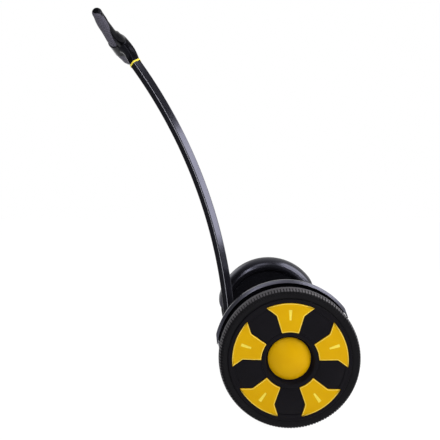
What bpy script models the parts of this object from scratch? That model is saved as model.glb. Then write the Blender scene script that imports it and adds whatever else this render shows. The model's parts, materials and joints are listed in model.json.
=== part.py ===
"""Two-wheeled self-balancing scooter with a bowed handle post, parked nose-down on its stand.

World frame: metres, +X forward, +Y to the rider's left, +Z up, floor at z = 0.
The machine is built level around its axle and then pitched by the empty body_frame.
Round pieces are turned about their own local Z, which points outboard on each side.
"""

from math import asin, cos, hypot, pi, radians, sin, sqrt, tan

import bmesh
import bpy

# Clearances shared by every seat
GAP = 0.0003
RUNNING_GAP = 0.0012
SPIGOT_GAP = 0.0005

# Modelling limits: points closer than the first are one, faces nearer flat than the second too
WELD = 0.00001
FLAT_ANGLE = radians(0.5)

# Parked pose
PITCH = radians(12.0)

# Tyre, 47 mm wide on a 16 inch wheel; shares run from bead to crown and from middle to side
TYRE_RADIUS = 0.203
TYRE_WIDTH = 0.047
TYRE_STEPS = 38
BEAD_RADIUS = 0.1525
TYRE_OUTSIDE_SHARES = [(0.0, 0.62), (0.30, 0.72), (0.72, 1.0), (0.90, 0.84), (1.0, 0.27)]
TYRE_INSIDE_SHARES = [(0.0, 0.40), (0.80, 0.60)]

# Cast wheel with its motor housing; axial sizes are measured outboard from the tyre's middle
WHEEL_STEPS = 24
RIM_FLANGE_RISE = 0.0045
RIM_FLANGE_INSET = 0.0033
RIM_FLANGE_THICK = 0.0034
RIM_WALL = 0.005
HUB_FACE = 0.001
HUB_PLATE = 0.005
CAN_RADIUS = 0.112
CAN_WALL = 0.006
CAN_DEPTH = 0.031
MOTOR_COVER = 0.0032
BEARING_STEPS = 12
BEARING_RADIUS = 0.0140
BEARING_WIDTH = 0.0085
BEARING_RECESS = 0.001
BOSS_WALL = 0.006
STATOR_AIR_GAP = 0.0012
STATOR_TEETH = 12
TOOTH_DEPTH = 0.014

# Wheel cover, its inserts and its centre cap
COVER_STEPS = 32
COVER_REACH_SHARE = 0.426
COVER_THICK = 0.0030
COVER_POCKET = 0.0015
COVER_WELL_RADIUS = 0.0645
COVER_WELL_DEPTH = 0.0155
COVER_WELL_FLARE = 0.0055
INSERTS = 5
INSERT_MARGIN = 0.0110
INSERT_EAR_DEPTH = 0.0300
INSERT_ROOT_MARGIN = 0.0115
INSERT_EAR_ANGLE = radians(24.3)
INSERT_SIDE_ANGLE = radians(16.8)
INSERT_PROUD = 0.0015
INSERT_EDGE = 0.0008
SLOT_LENGTH = 0.030
SLOT_WIDTH = 0.007
SLOT_INSET = 0.0035
SLOT_DEPTH = 0.0009
CAP_STEPS = 24
CAP_RADIUS = 0.0613
CAP_RISE = 0.0182
CAP_WALL = 0.0025
CAP_SKIRT = 0.0018

# Tray between the wheels, with the deck on top
TRAY_HALF_WIDTH = 0.186
TRAY_FRONT = 0.140
TRAY_BACK = 0.150
TRAY_TOP = 0.0155
TRAY_BOTTOM = -0.072
TRAY_WALL = 0.004
TRAY_CORNER = 0.018
DECK_THICK = 0.0042
MAT_LENGTH = 0.236
MAT_WIDTH = 0.140
MAT_THICK = 0.005
MAT_RIB = 0.002
MAT_RIBS = 8
MAT_RIB_SHARE = 0.72
MAT_MIDDLE = 0.082
MAT_SETBACK = 0.008
BATTERY = (0.190, 0.230, 0.046)
BATTERY_ROUND = 0.006
BOARD = (0.150, 0.180, 0.003)
FIN_COUNT = 9
FIN_HEIGHT = 0.009
FIN_SHARE = 0.35

# Fixed axle on each side
AXLE_RADIUS = 0.0098
AXLE_STEPS = 16
AXLE_INSIDE = 0.032
AXLE_FLANGE_RADIUS = 0.030
AXLE_FLANGE = 0.009
AXLE_SHOULDER = 0.0155
NUT_RADIUS = 0.0175
NUT_THICK = 0.011

# Fender: a dished wall on the tray with a rolled rim beside the tyre
FENDER_STEPS = 38
FENDER_WALL = 0.003
FENDER_HOLE = 0.0125
FENDER_OVER_TYRE = 0.0135
FENDER_ROLL_OUT = 0.0345
FENDER_ROLL_IN = 0.0154
FENDER_SHOULDER = 0.0106
FENDER_DEPTH = 0.0405
FENDER_ROLL = 0.0150
FENDER_STEP = 0.0040
FENDER_FLANGE = 0.0080
FENDER_END = radians(15.5)
APRON_HALF = 0.112
APRON_DROP = 0.050
TYRE_GAP = 0.0067

# Rounded end of the fender: angle over the axle's level, distance inside the lip
FENDER_CORNER = [
    (FENDER_END, 0.0140),
    (radians(18.0), 0.0085),
    (radians(21.0), 0.0040),
    (radians(25.0), 0.0010),
    (radians(29.0), -0.0030),
]

# Lean pivot in front of the tray
LEAN_HEIGHT = -0.035
LEAN_RANGE = radians(15.0)
LEAN_SHAFT = 0.008
LEAN_STEPS = 16
BUSH_WALL = 0.0035
MOUNT_PLATE = 0.008
MOUNT_HALF_WIDTH = 0.030
MOUNT_REACH = 0.0132
MOUNT_BOTTOM = -0.070
SOCKET_LENGTH = 0.037
SOCKET_RADIUS = 0.0165
COLUMN_WAIST = 0.012
COLUMN_SHOULDER = 0.012
SPRING_WIRE = 0.0017
SPRING_COIL = 0.0125
SPRING_PITCH = 0.0025
SPRING_TURNS = 3
SPRING_POINTS = 10
SHAFT_HEAD = 0.013
SHAFT_HEAD_LENGTH = 0.004
SHAFT_INSET = 0.001
NOSE_WALL = 0.0025
NOSE_HALF_WIDTH = 0.060
NOSE_TOP = 0.013
NOSE_BOTTOM = -0.078
NOSE_MARGIN = 0.003
NOSE_ROUND = 0.014
SLOT_MARGIN = 0.004

# Bowed post; section corners are shares of its half depth and half width, front first
POST_BASE = 0.0
POST_TOP = 1.020
POST_BOW_RADIUS = 1.778
POST_BOW_HEIGHT = 0.300
POST_HALF_DEPTH = 0.0198
POST_HALF_WIDTH = 0.0170
POST_WALL = 0.0030
POST_STATIONS = 14
POST_SECTION_SHARES = [(1.0, 0.24), (0.93, 0.42), (0.14, 1.0), (0.0, 1.0), (-1.0, 0.42)]
SPIGOT_LENGTH = 0.050
RING_THICK = 0.005
RING_PROUD = 0.0015

# Neck above the ring, from the post's top: forward, up, lean, half depth, half width, roundness
NECK_STATIONS = [
    (0.0080, 0.0320, radians(25), 0.0213, 0.0185, 0.4),
    (0.0155, 0.0535, radians(30), 0.0218, 0.0240, 0.8),
    (0.0350, 0.0810, radians(38), 0.0265, 0.0340, 1.0),
    (0.0475, 0.1020, radians(21), 0.0220, 0.0310, 1.0),
    (0.0465, 0.1180, radians(18), 0.0125, 0.0190, 1.0),
]
HUB_WALL = 0.0030
HUB_HALF_WIDTH = 0.037

# Shoulders of the neck behind the bar: distance from the middle, set back, radius
SHOULDERS = [
    (0.000, 0.0210, 0.0220),
    (0.037, 0.0180, 0.0205),
    (0.060, 0.0125, 0.0190),
    (0.075, 0.0078, 0.0180),
    (0.100, 0.0045, 0.0175),
    (0.124, 0.0006, 0.0178),
]
SHOULDER_TILT = radians(20)

# Handlebar: straight through the hub, then both ends rise
BAR_FORWARD = 0.0530
BAR_UP = 0.0725
BAR_RADIUS = 0.0110
BAR_WALL = 0.0025
BAR_HALF_WIDTH = 0.1785
BAR_BEND = 0.056
BAR_BEND_HALF = 0.014
BAR_BEND_STEPS = 3
BAR_SLOPE = radians(12.2)
SLEEVE_RADIUS = 0.0165
SLEEVE_HALF_WIDTH = 0.0725
GRIP_RADIUS = 0.0155
GRIP_STEPS = 16
# Along the grip from its inner end: share of its length, share of its radius
GRIP_SWELL = [
    (0.0, 1.065),
    (0.26, 1.07),
    (0.45, 1.13),
    (0.62, 1.18),
    (0.76, 1.15),
    (0.89, 1.07),
    (1.0, 1.0),
]
BORE_OVERRUN = 0.004
END_CAP_LENGTH = 0.016
END_CAP_ROUND = 0.009
PLUG_LENGTH = 0.015
BUTTON_RADIUS = 0.0080
BUTTON_HEIGHT = 0.0050
BUTTON_PROUD = 0.0015
BUTTON_TRAVEL = 0.0012

# Charging socket in the back wall, with a hinged flap
CHARGE_SIDE = -0.105
CHARGE_HEIGHT = -0.030
CHARGE_BODY = 0.0090
CHARGE_FLANGE = 0.0120
CHARGE_FLANGE_THICK = 0.0020
CHARGE_LENGTH = 0.020
CHARGE_BORE = 0.0065
CHARGE_BORE_DEPTH = 0.0140
FLAP_RADIUS = 0.0125
FLAP_THICK = 0.0030
FLAP_HINGE_RISE = 0.0185
FLAP_HALF_TAB = 0.0045
FLAP_BEAD = 0.0025

# Parking stand under the tray
STAND_X = 0.112
STAND_PIN = 0.0050
STAND_EYE = 0.0095
STAND_HALF_WIDTH = 0.0500
STAND_LEG = 0.0055
STAND_LEG_HALF = 0.0400
STAND_BEND = 0.012
STAND_AHEAD = 0.0175
STAND_LUG = 0.0080
STAND_LUG_HALF = 0.0130
FOOT_HALF_LENGTH = 0.012
FOOT_HALF_WIDTH = 0.055
FOOT_THICK = 0.0085


def facet_radius(radius, steps):
    """Corner radius of a polygon whose flats lie at this radius."""
    return radius / cos(pi / steps)


def bore_for(radius, steps):
    """Corner radius of a bore whose flats clear a round piece of this radius."""
    return facet_radius(radius + GAP, steps)


def post_drift(height):
    """How far the bowed post stands ahead of its rearmost point at this height."""
    return POST_BOW_RADIUS - sqrt(POST_BOW_RADIUS**2 - (height - POST_BOW_HEIGHT) ** 2)


def post_point(height):
    return SOCKET_X + post_drift(height) - post_drift(POST_BASE), height


def post_lean(height):
    return asin((height - POST_BOW_HEIGHT) / POST_BOW_RADIUS)


def body_to_world(x, z):
    """World x and z of a point given in the level body frame."""
    return (
        AXLE_X + x * cos(PITCH) + z * sin(PITCH),
        AXLE_HEIGHT - x * sin(PITCH) + z * cos(PITCH),
    )


# Places that follow from the sizes above
AXLE_HEIGHT = TYRE_RADIUS * cos(pi / TYRE_STEPS)
DISH_PLANE = TRAY_HALF_WIDTH + GAP
FENDER_LIP = DISH_PLANE + FENDER_DEPTH
WHEEL_Y = FENDER_LIP + TYRE_GAP + TYRE_WIDTH / 2
TYRE_SEAT = bore_for(BEAD_RADIUS, TYRE_STEPS)
RIM_FLANGE = BEAD_RADIUS + RIM_FLANGE_RISE
RIM_FLANGE_OUT = TYRE_WIDTH / 2 - RIM_FLANGE_INSET
COVER_RADIUS = TYRE_SEAT + COVER_REACH_SHARE * (TYRE_RADIUS - TYRE_SEAT)
COVER_BACK = RIM_FLANGE_OUT + GAP
COVER_FACE = COVER_BACK + COVER_THICK
COVER_WELL = COVER_FACE - COVER_WELL_DEPTH
INSERT_OUTER = COVER_RADIUS - INSERT_MARGIN
INSERT_NOTCH = INSERT_OUTER - INSERT_EAR_DEPTH
INSERT_INNER = COVER_WELL_RADIUS + COVER_WELL_FLARE + INSERT_ROOT_MARGIN
SLOT_MIDDLE = INSERT_NOTCH - SLOT_INSET
FENDER_RADIUS = TYRE_RADIUS + FENDER_OVER_TYRE
FENDER_APEX = FENDER_RADIUS - FENDER_ROLL_OUT
FENDER_EDGE = FENDER_APEX - FENDER_ROLL_IN
FENDER_DISH = FENDER_EDGE - FENDER_SHOULDER
CAN_END = HUB_FACE - CAN_DEPTH
MOTOR_END = CAN_END - GAP - MOTOR_COVER
DECK_BOTTOM = TRAY_TOP + GAP
DECK_TOP = DECK_BOTTOM + DECK_THICK
MOUNT_X = TRAY_FRONT + GAP
SOCKET_BACK = MOUNT_X + MOUNT_PLATE + RUNNING_GAP
SOCKET_X = SOCKET_BACK + SOCKET_LENGTH / 2
SPRING_X = SOCKET_BACK + SOCKET_LENGTH + GAP + SPRING_WIRE / 2
LUG_X = SPRING_X + SPRING_TURNS * SPRING_PITCH + SPRING_WIRE / 2 + GAP
SHAFT_FRONT = LUG_X + MOUNT_PLATE + GAP
NOSE_X = SHAFT_FRONT + SHAFT_HEAD_LENGTH + NOSE_MARGIN + NOSE_WALL
TOP_X, TOP_Z = post_point(POST_TOP)
TOP_LEAN = post_lean(POST_TOP)
BAR_X = TOP_X + BAR_FORWARD
BAR_Z = TOP_Z + BAR_UP
BAR_TIP_RISE = tan(BAR_SLOPE) * (BAR_HALF_WIDTH - BAR_BEND)
FRONT_REACH = BAR_X * cos(PITCH) + (BAR_Z + BAR_TIP_RISE) * sin(PITCH) + GRIP_RADIUS
AXLE_X = (TYRE_RADIUS - FRONT_REACH) / 2
STAND_Z = TRAY_BOTTOM - STAND_EYE - RUNNING_GAP
STAND_HEIGHT = body_to_world(STAND_X, STAND_Z)[1]


# Scene, collections, materials and frames
def clear_scene():
    for obj in list(bpy.data.objects):
        bpy.data.objects.remove(obj)


def collection(name, for_cutters=False):
    made = bpy.data.collections.new(name)
    bpy.context.scene.collection.children.link(made)
    made.hide_render = for_cutters
    return made


def material(name, hex_colour, roughness, metallic=0.0):
    value = int(hex_colour, 16)
    channels = [(value >> shift & 255) / 255 for shift in (16, 8, 0)]
    linear = [c / 12.92 if c <= 0.04045 else ((c + 0.055) / 1.055) ** 2.4 for c in channels]
    made = bpy.data.materials.new(name)
    made.use_nodes = True
    shader = made.node_tree.nodes["Principled BSDF"]
    shader.inputs["Base Color"].default_value = (*linear, 1.0)
    shader.inputs["Roughness"].default_value = roughness
    shader.inputs["Metallic"].default_value = metallic
    return made


def empty(name, parent=None, location=(0, 0, 0), rotation=(0, 0, 0)):
    made = bpy.data.objects.new(name, None)
    PARTS.objects.link(made)
    made.parent = parent
    made.location = location
    made.rotation_euler = rotation
    return made


clear_scene()
PARTS = collection("self_balancing_scooter")
CUTTERS = collection("cutters", for_cutters=True)

TYRE_RUBBER = material("tyre_rubber", "1B1B1D", 0.62)
GLOSS_BLACK = material("gloss_black_plastic", "101013", 0.16)
MATT_BLACK = material("matt_black_plastic", "1E1E22", 0.55)
BLACK_PAINT = material("black_paint", "121215", 0.22)
YELLOW = material("yellow_plastic", "E8BE12", 0.35)
GREY_RUBBER = material("grey_soft_rubber", "59595E", 0.70)
CAST_ALLOY = material("cast_alloy", "8C8E92", 0.42, 1.0)
STEEL = material("turned_steel", "B4B6BA", 0.28, 1.0)
BRONZE = material("sintered_bronze", "A8763A", 0.40, 1.0)
COPPER_CORE = material("copper_and_laminations", "8A4B2A", 0.45, 0.6)
BLUE_WRAP = material("battery_wrap", "1F4E8C", 0.50)
GREEN_BOARD = material("circuit_board", "1D5A34", 0.50)

OUTBOARD = (-pi / 2, 0, 0)
FORWARD = (0, pi / 2, 0)
BACKWARD = (0, -pi / 2, 0)
UPRIGHT = (pi / 2, 0, 0)
SIDES = {"left": 1, "right": -1}

BODY = empty("body_frame", None, (AXLE_X, 0, AXLE_HEIGHT), (0, PITCH, 0))
SIDE_FRAME = {}
WHEEL_AXIS = {}
for side, sign in SIDES.items():
    turn = (0, 0, pi * (1 - sign) / 2)
    SIDE_FRAME[side] = empty(side + "_side", BODY, rotation=turn)
    hub_centre = (AXLE_X, sign * WHEEL_Y, AXLE_HEIGHT)
    WHEEL_AXIS[side] = empty(side + "_wheel_axis", None, hub_centre, turn)
LEAN_AXIS = empty("post_lean_axis", BODY, (SOCKET_X, 0, LEAN_HEIGHT))
POST = empty("post_frame", LEAN_AXIS, (-SOCKET_X, 0, -LEAN_HEIGHT))
STAND_AXIS = empty("stand_axis", BODY, (STAND_X, 0, STAND_Z), (0, -PITCH, 0))


# Modelling helpers; a piece without a look is a cutter or a shape to be joined
def add_object(name, data, look, parent, location=(0, 0, 0), rotation=(0, 0, 0)):
    made = bpy.data.objects.new(name, data)
    made.parent = parent
    made.location = location
    made.rotation_euler = rotation
    if look is None:
        CUTTERS.objects.link(made)
        made.hide_render = True
        made.display_type = "WIRE"
    else:
        PARTS.objects.link(made)
        data.materials.append(look)
    return made


def turned(name, profile, steps, look, parent, location=(0, 0, 0), rotation=OUTBOARD, ring=False):
    """A profile of radius and height pairs, outer side running down, turned about local Z.

    A ring's profile is closed; any other starts and ends on the axis or is an open wall.
    """
    data = bpy.data.meshes.new(name)
    edges = [(i, i + 1) for i in range(len(profile) - 1)]
    if ring:
        edges.append((len(profile) - 1, 0))
    data.from_pydata([(r, 0, z) for r, z in profile], edges, [])
    made = add_object(name, data, look, parent, location, rotation)
    screw = made.modifiers.new("Turn", "SCREW")
    screw.steps = steps
    screw.render_steps = steps
    screw.use_merge_vertices = True
    screw.merge_threshold = WELD
    return made


def rod(name, radius, length, steps, look, parent, location=(0, 0, 0), rotation=OUTBOARD):
    """A round bar centred on its location, along local Z; each end is one flat face."""
    shape = bmesh.new()
    bmesh.ops.create_cone(
        shape, cap_ends=True, segments=steps, radius1=radius, radius2=radius, depth=length
    )
    data = bpy.data.meshes.new(name)
    shape.to_mesh(data)
    shape.free()
    return add_object(name, data, look, parent, location, rotation)


def to_mesh(obj, look, flat_angle=0.0):
    """Replaces a curve object by a welded mesh object with the same name and place.

    Neighbouring faces that meet at less than the flat angle become one face.
    """
    bpy.context.view_layer.update()
    graph = bpy.context.evaluated_depsgraph_get()
    data = bpy.data.meshes.new_from_object(obj.evaluated_get(graph))
    shape = bmesh.new()
    shape.from_mesh(data)
    bmesh.ops.remove_doubles(shape, verts=shape.verts, dist=WELD)
    if flat_angle:
        bmesh.ops.dissolve_limit(
            shape, angle_limit=flat_angle, verts=shape.verts, edges=shape.edges
        )
    bmesh.ops.recalc_face_normals(shape, faces=shape.faces)
    shape.to_mesh(data)
    shape.free()
    data.materials.clear()
    name, parent, place, turn = obj.name, obj.parent, obj.location[:], obj.rotation_euler[:]
    bpy.data.objects.remove(obj)
    return add_object(name, data, look, parent, place, turn)


def curve_object(name, kind, chains, closed, parent, location=(0, 0, 0), rotation=(0, 0, 0)):
    data = bpy.data.curves.new(name, "CURVE")
    data.dimensions = kind
    for chain in chains:
        spline = data.splines.new("POLY")
        spline.points.add(len(chain) - 1)
        for point, place in zip(spline.points, chain):
            point.co = (*place, 0, 1) if kind == "2D" else (*place, 1)
        spline.use_cyclic_u = closed
    made = bpy.data.objects.new(name, data)
    PARTS.objects.link(made)
    made.parent = parent
    made.location = location
    made.rotation_euler = rotation
    return made


def plate(name, outlines, thick, look, parent, location=(0, 0, 0), rotation=(0, 0, 0)):
    """A flat piece: closed outlines in local XY, holes included, centred on local Z."""
    made = curve_object(name, "2D", outlines, True, parent, location, rotation)
    made.data.fill_mode = "BOTH"
    made.data.extrude = thick / 2
    return to_mesh(made, look, FLAT_ANGLE)


def tube(name, points, radius, look, parent, sides=10, swells=()):
    """A solid round bar along a chain of points; its ends are flat caps.

    Each swell multiplies the radius at its point.
    """
    made = curve_object(name, "3D", [points], False, parent)
    for point, swell in zip(made.data.splines[0].points, swells):
        point.radius = swell
    made.data.twist_mode = "MINIMUM"
    made.data.bevel_depth = radius
    made.data.bevel_resolution = sides // 2 - 2
    made.data.use_fill_caps = True
    return to_mesh(made, look)


def block(name, low, high, look, parent, rounding=0.0, chosen="ALL", segments=3):
    """A box between two corners, with all, its upright or all but its back edges rounded."""
    shape = bmesh.new()
    bmesh.ops.create_cube(shape, size=1.0)
    size = [b - a for a, b in zip(low, high)]
    middle = [(a + b) / 2 for a, b in zip(low, high)]
    bmesh.ops.scale(shape, vec=size, verts=shape.verts)
    bmesh.ops.translate(shape, vec=middle, verts=shape.verts)
    edges = list(shape.edges)
    if chosen == "UPRIGHT":
        edges = [e for e in edges if abs(e.verts[0].co.z - e.verts[1].co.z) > size[2] / 2]
    if chosen == "FRONT":
        edges = [e for e in edges if max(v.co.x for v in e.verts) > middle[0]]
    if rounding:
        bmesh.ops.bevel(
            shape, geom=edges, offset=rounding, segments=segments, profile=0.5, affect="EDGES"
        )
    data = bpy.data.meshes.new(name)
    shape.to_mesh(data)
    shape.free()
    return add_object(name, data, look, parent)


def section_ring(half_depth, half_width, roundness, shares):
    """The post's faceted section; roundness 1 gives the ellipse of the same half sizes."""
    corners = POST_SECTION_SHARES + [(u, -v) for u, v in reversed(POST_SECTION_SHARES)]
    ring = []
    for (u, v), (next_u, next_v) in zip(corners, corners[1:] + corners[:1]):
        for share in shares:
            fore = u + (next_u - u) * share
            across = v + (next_v - v) * share
            swell = 1 + (1 / hypot(fore, across) - 1) * roundness
            ring.append((fore * swell * half_depth, across * swell * half_width))
    return ring


def lofted(name, stations, look, parent, shares=(0,)):
    """A solid through sections that stand square to a line in the middle plane."""
    shape = bmesh.new()
    rings = []
    for x, z, lean, half_depth, half_width, roundness in stations:
        ring = [
            shape.verts.new((x + fore * cos(lean), across, z - fore * sin(lean)))
            for fore, across in section_ring(half_depth, half_width, roundness, shares)
        ]
        rings.append(ring)
    count = len(rings[0])
    for lower, upper in zip(rings, rings[1:]):
        for i in range(count):
            j = (i + 1) % count
            shape.faces.new((lower[i], lower[j], upper[j], upper[i]))
    shape.faces.new(rings[0])
    shape.faces.new(rings[-1])
    bmesh.ops.recalc_face_normals(shape, faces=shape.faces)
    data = bpy.data.meshes.new(name)
    shape.to_mesh(data)
    shape.free()
    return add_object(name, data, look, parent)


def combine(target, other, operation):
    step = target.modifiers.new(operation.title() + " " + other.name, "BOOLEAN")
    step.operation = operation
    step.solver = "EXACT"
    step.object = other


def cut(target, other):
    combine(target, other, "DIFFERENCE")


def join(target, other):
    combine(target, other, "UNION")


def arc(radius, start, end, segments):
    angles = [start + (end - start) * i / segments for i in range(segments + 1)]
    return [(radius * cos(a), radius * sin(a)) for a in angles]


def turn_points(points, angle):
    return [(x * cos(angle) - y * sin(angle), x * sin(angle) + y * cos(angle)) for x, y in points]


# Wheels
def tyre_point(share, width):
    return TYRE_SEAT + (TYRE_RADIUS - TYRE_SEAT) * share, width * TYRE_WIDTH / 2


def make_tyre(side):
    """Open casing: round the outside from bead to bead, then back through the inside."""
    outside = [tyre_point(t, w) for t, w in TYRE_OUTSIDE_SHARES]
    inside = [tyre_point(t, w) for t, w in TYRE_INSIDE_SHARES]
    profile = outside + [(r, -z) for r, z in reversed(outside)]
    profile += [(r, -z) for r, z in inside] + inside[::-1]
    turned(side + "_tyre", profile, TYRE_STEPS, TYRE_RUBBER, WHEEL_AXIS[side], ring=True)


def bearing_faces(end):
    """Outboard and inboard face of a wheel bearing, measured from the tyre's middle."""
    if end == "outer":
        face = HUB_FACE - BEARING_RECESS
        return face, face - BEARING_WIDTH
    face = MOTOR_END - RUNNING_GAP
    return face + BEARING_WIDTH, face


def make_hub(side):
    bore = bore_for(BEARING_RADIUS, WHEEL_STEPS)
    boss = bore + BOSS_WALL
    barrel = BEAD_RADIUS - RIM_WALL
    flange = RIM_FLANGE_OUT - RIM_FLANGE_THICK
    plate_back = HUB_FACE - HUB_PLATE
    boss_end = bearing_faces("outer")[1] - GAP
    can_bore = CAN_RADIUS - CAN_WALL
    profile = [
        (barrel, RIM_FLANGE_OUT),
        (RIM_FLANGE, RIM_FLANGE_OUT),
        (RIM_FLANGE, flange),
        (BEAD_RADIUS, flange),
        (BEAD_RADIUS, -flange),
        (RIM_FLANGE, -flange),
        (RIM_FLANGE, -RIM_FLANGE_OUT),
        (barrel, -RIM_FLANGE_OUT),
        (barrel, plate_back),
        (CAN_RADIUS, plate_back),
        (CAN_RADIUS, CAN_END),
        (can_bore, CAN_END),
        (can_bore, plate_back),
        (boss, plate_back),
        (boss, boss_end),
        (bore, boss_end),
        (bore, HUB_FACE),
        (barrel, HUB_FACE),
    ]
    turned(side + "_wheel_hub", profile, WHEEL_STEPS, CAST_ALLOY, WHEEL_AXIS[side], ring=True)


def make_motor_cover(side):
    bore = bore_for(BEARING_RADIUS, WHEEL_STEPS)
    boss = bore + BOSS_WALL
    boss_end = bearing_faces("inner")[0] + GAP
    profile = [
        (bore, boss_end),
        (boss, boss_end),
        (boss, CAN_END - GAP),
        (CAN_RADIUS, CAN_END - GAP),
        (CAN_RADIUS, MOTOR_END),
        (bore, MOTOR_END),
    ]
    turned(side + "_motor_cover", profile, WHEEL_STEPS, CAST_ALLOY, WHEEL_AXIS[side], ring=True)


def make_bearing(side, end):
    high, low = bearing_faces(end)
    bore = bore_for(AXLE_RADIUS, BEARING_STEPS)
    profile = [(bore, high), (BEARING_RADIUS, high), (BEARING_RADIUS, low), (bore, low)]
    name = f"{side}_{end}_bearing"
    turned(name, profile, BEARING_STEPS, STEEL, WHEEL_AXIS[side], ring=True)


def insert_angle(number):
    """In the turned frame the wheel's top lies at minus 90 degrees."""
    return -pi / 2 + 2 * pi * number / INSERTS


def insert_outline(number, grow=0.0):
    """An insert's edge in the cover's face, grown by a clearance: two ears on a tapered leg."""
    ear = INSERT_EAR_ANGLE + grow / INSERT_OUTER
    notch = INSERT_SIDE_ANGLE + grow / INSERT_NOTCH
    root = INSERT_SIDE_ANGLE + grow / INSERT_INNER
    points = arc(INSERT_OUTER + grow, -ear, ear, 5)
    points += arc(INSERT_NOTCH - grow, notch, notch, 1)[:1]
    points += arc(INSERT_INNER - grow, root, -root, 3)
    points += arc(INSERT_NOTCH - grow, -notch, -notch, 1)[:1]
    return turn_points(points, insert_angle(number))


def make_wheel_cover(side):
    back_flare = COVER_WELL_RADIUS + COVER_WELL_FLARE
    profile = [
        (0, COVER_WELL),
        (COVER_WELL_RADIUS, COVER_WELL),
        (back_flare, COVER_FACE),
        (COVER_RADIUS - COVER_THICK / 3, COVER_FACE),
        (COVER_RADIUS, COVER_FACE - COVER_THICK / 3),
        (COVER_RADIUS, COVER_BACK),
        (back_flare + COVER_THICK, COVER_BACK),
        (COVER_WELL_RADIUS + COVER_THICK, COVER_WELL - COVER_THICK),
        (0, COVER_WELL - COVER_THICK),
    ]
    cover = turned(side + "_wheel_cover", profile, COVER_STEPS, MATT_BLACK, WHEEL_AXIS[side])
    pockets = plate(
        side + "_cover_pockets",
        [insert_outline(number, GAP) for number in range(INSERTS)],
        2 * COVER_POCKET,
        None,
        WHEEL_AXIS[side],
        (0, COVER_FACE, 0),
        OUTBOARD,
    )
    cut(cover, pockets)


def make_insert(side, number):
    """A yellow panel in its pocket, with a shallow radial slot in its face."""
    name = f"{side}_cover_insert_{number + 1}"
    axis = WHEEL_AXIS[side]
    bottom = COVER_FACE - COVER_POCKET + GAP
    top = COVER_FACE + INSERT_PROUD
    place = (0, (bottom + top) / 2, 0)
    insert = plate(name, [insert_outline(number)], top - bottom, YELLOW, axis, place, OUTBOARD)
    rim = insert.modifiers.new("Soft edge", "BEVEL")
    rim.width = INSERT_EDGE
    rim.segments = 1
    rim.limit_method = "ANGLE"
    rim.angle_limit = radians(60)
    near, far = SLOT_MIDDLE - SLOT_LENGTH / 2, SLOT_MIDDLE + SLOT_LENGTH / 2
    half = SLOT_WIDTH / 2
    corners = turn_points(
        [(near, -half), (far, -half), (far, half), (near, half)], insert_angle(number)
    )
    slot = plate(name + "_slot", [corners], 2 * SLOT_DEPTH, None, axis, (0, top, 0), OUTBOARD)
    cut(insert, slot)


def dome(radius, reach, centre, segments):
    """Points from the top of a sphere down to this reach from its axis."""
    span = asin(reach / radius)
    angles = [span * i / segments for i in range(segments + 1)]
    return [(radius * sin(a), centre + radius * cos(a)) for a in angles]


def make_centre_cap(side):
    seat = COVER_WELL + GAP
    edge = seat + CAP_SKIRT
    sphere = (CAP_RADIUS**2 + CAP_RISE**2) / (2 * CAP_RISE)
    centre = edge + CAP_RISE - sphere
    inside = CAP_RADIUS - CAP_WALL
    profile = dome(sphere, CAP_RADIUS, centre, 4) + [(CAP_RADIUS, seat), (inside, seat)]
    profile += dome(sphere - CAP_WALL, inside, centre, 2)[::-1]
    turned(side + "_centre_cap", profile, CAP_STEPS, YELLOW, WHEEL_AXIS[side])


# Fixed pieces on each side of the tray
def make_axle(side):
    """Stepped axle: its flange clamps the fender to the tray, its stub carries the wheel."""
    flange_in = DISH_PLANE + FENDER_WALL + GAP
    flange_out = flange_in + AXLE_FLANGE
    shoulder = WHEEL_Y + bearing_faces("inner")[1] - GAP
    tip = WHEEL_Y + COVER_WELL - COVER_THICK - RUNNING_GAP
    profile = [
        (0, tip),
        (AXLE_RADIUS, tip),
        (AXLE_RADIUS, shoulder),
        (AXLE_SHOULDER, shoulder),
        (AXLE_SHOULDER, flange_out),
        (AXLE_FLANGE_RADIUS, flange_out),
        (AXLE_FLANGE_RADIUS, flange_in),
        (AXLE_RADIUS, flange_in),
        (AXLE_RADIUS, TRAY_HALF_WIDTH - AXLE_INSIDE),
        (0, TRAY_HALF_WIDTH - AXLE_INSIDE),
    ]
    turned(side + "_axle", profile, AXLE_STEPS, STEEL, SIDE_FRAME[side])


def make_axle_nut(side):
    face = TRAY_HALF_WIDTH - TRAY_WALL - GAP
    back = face - NUT_THICK
    bore = bore_for(AXLE_RADIUS, 6)
    profile = [(bore, face), (NUT_RADIUS, face), (NUT_RADIUS, back), (bore, back)]
    turned(side + "_axle_nut", profile, 6, STEEL, SIDE_FRAME[side], ring=True)


def make_stator(side):
    """Laminated core with its teeth, fixed on the axle inside the motor housing."""
    outer = (CAN_RADIUS - CAN_WALL) * cos(pi / WHEEL_STEPS) - STATOR_AIR_GAP
    root = outer - TOOTH_DEPTH
    share = pi / STATOR_TEETH
    outline = []
    for tooth in range(STATOR_TEETH):
        for radius, spread in ((root, -0.60), (outer, -0.74), (outer, 0.74), (root, 0.60)):
            angle = (2 * tooth + spread) * share
            outline.append((radius * cos(angle), radius * sin(angle)))
    bore = arc(bore_for(AXLE_RADIUS, AXLE_STEPS), 0, 2 * pi, AXLE_STEPS)[:-1]
    low = bearing_faces("inner")[0] + GAP + RUNNING_GAP
    high = bearing_faces("outer")[1] - GAP - RUNNING_GAP
    place = (0, WHEEL_Y + (low + high) / 2, 0)
    plate(
        side + "_stator",
        [outline, bore],
        high - low,
        COPPER_CORE,
        SIDE_FRAME[side],
        place,
        OUTBOARD,
    )


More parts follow.
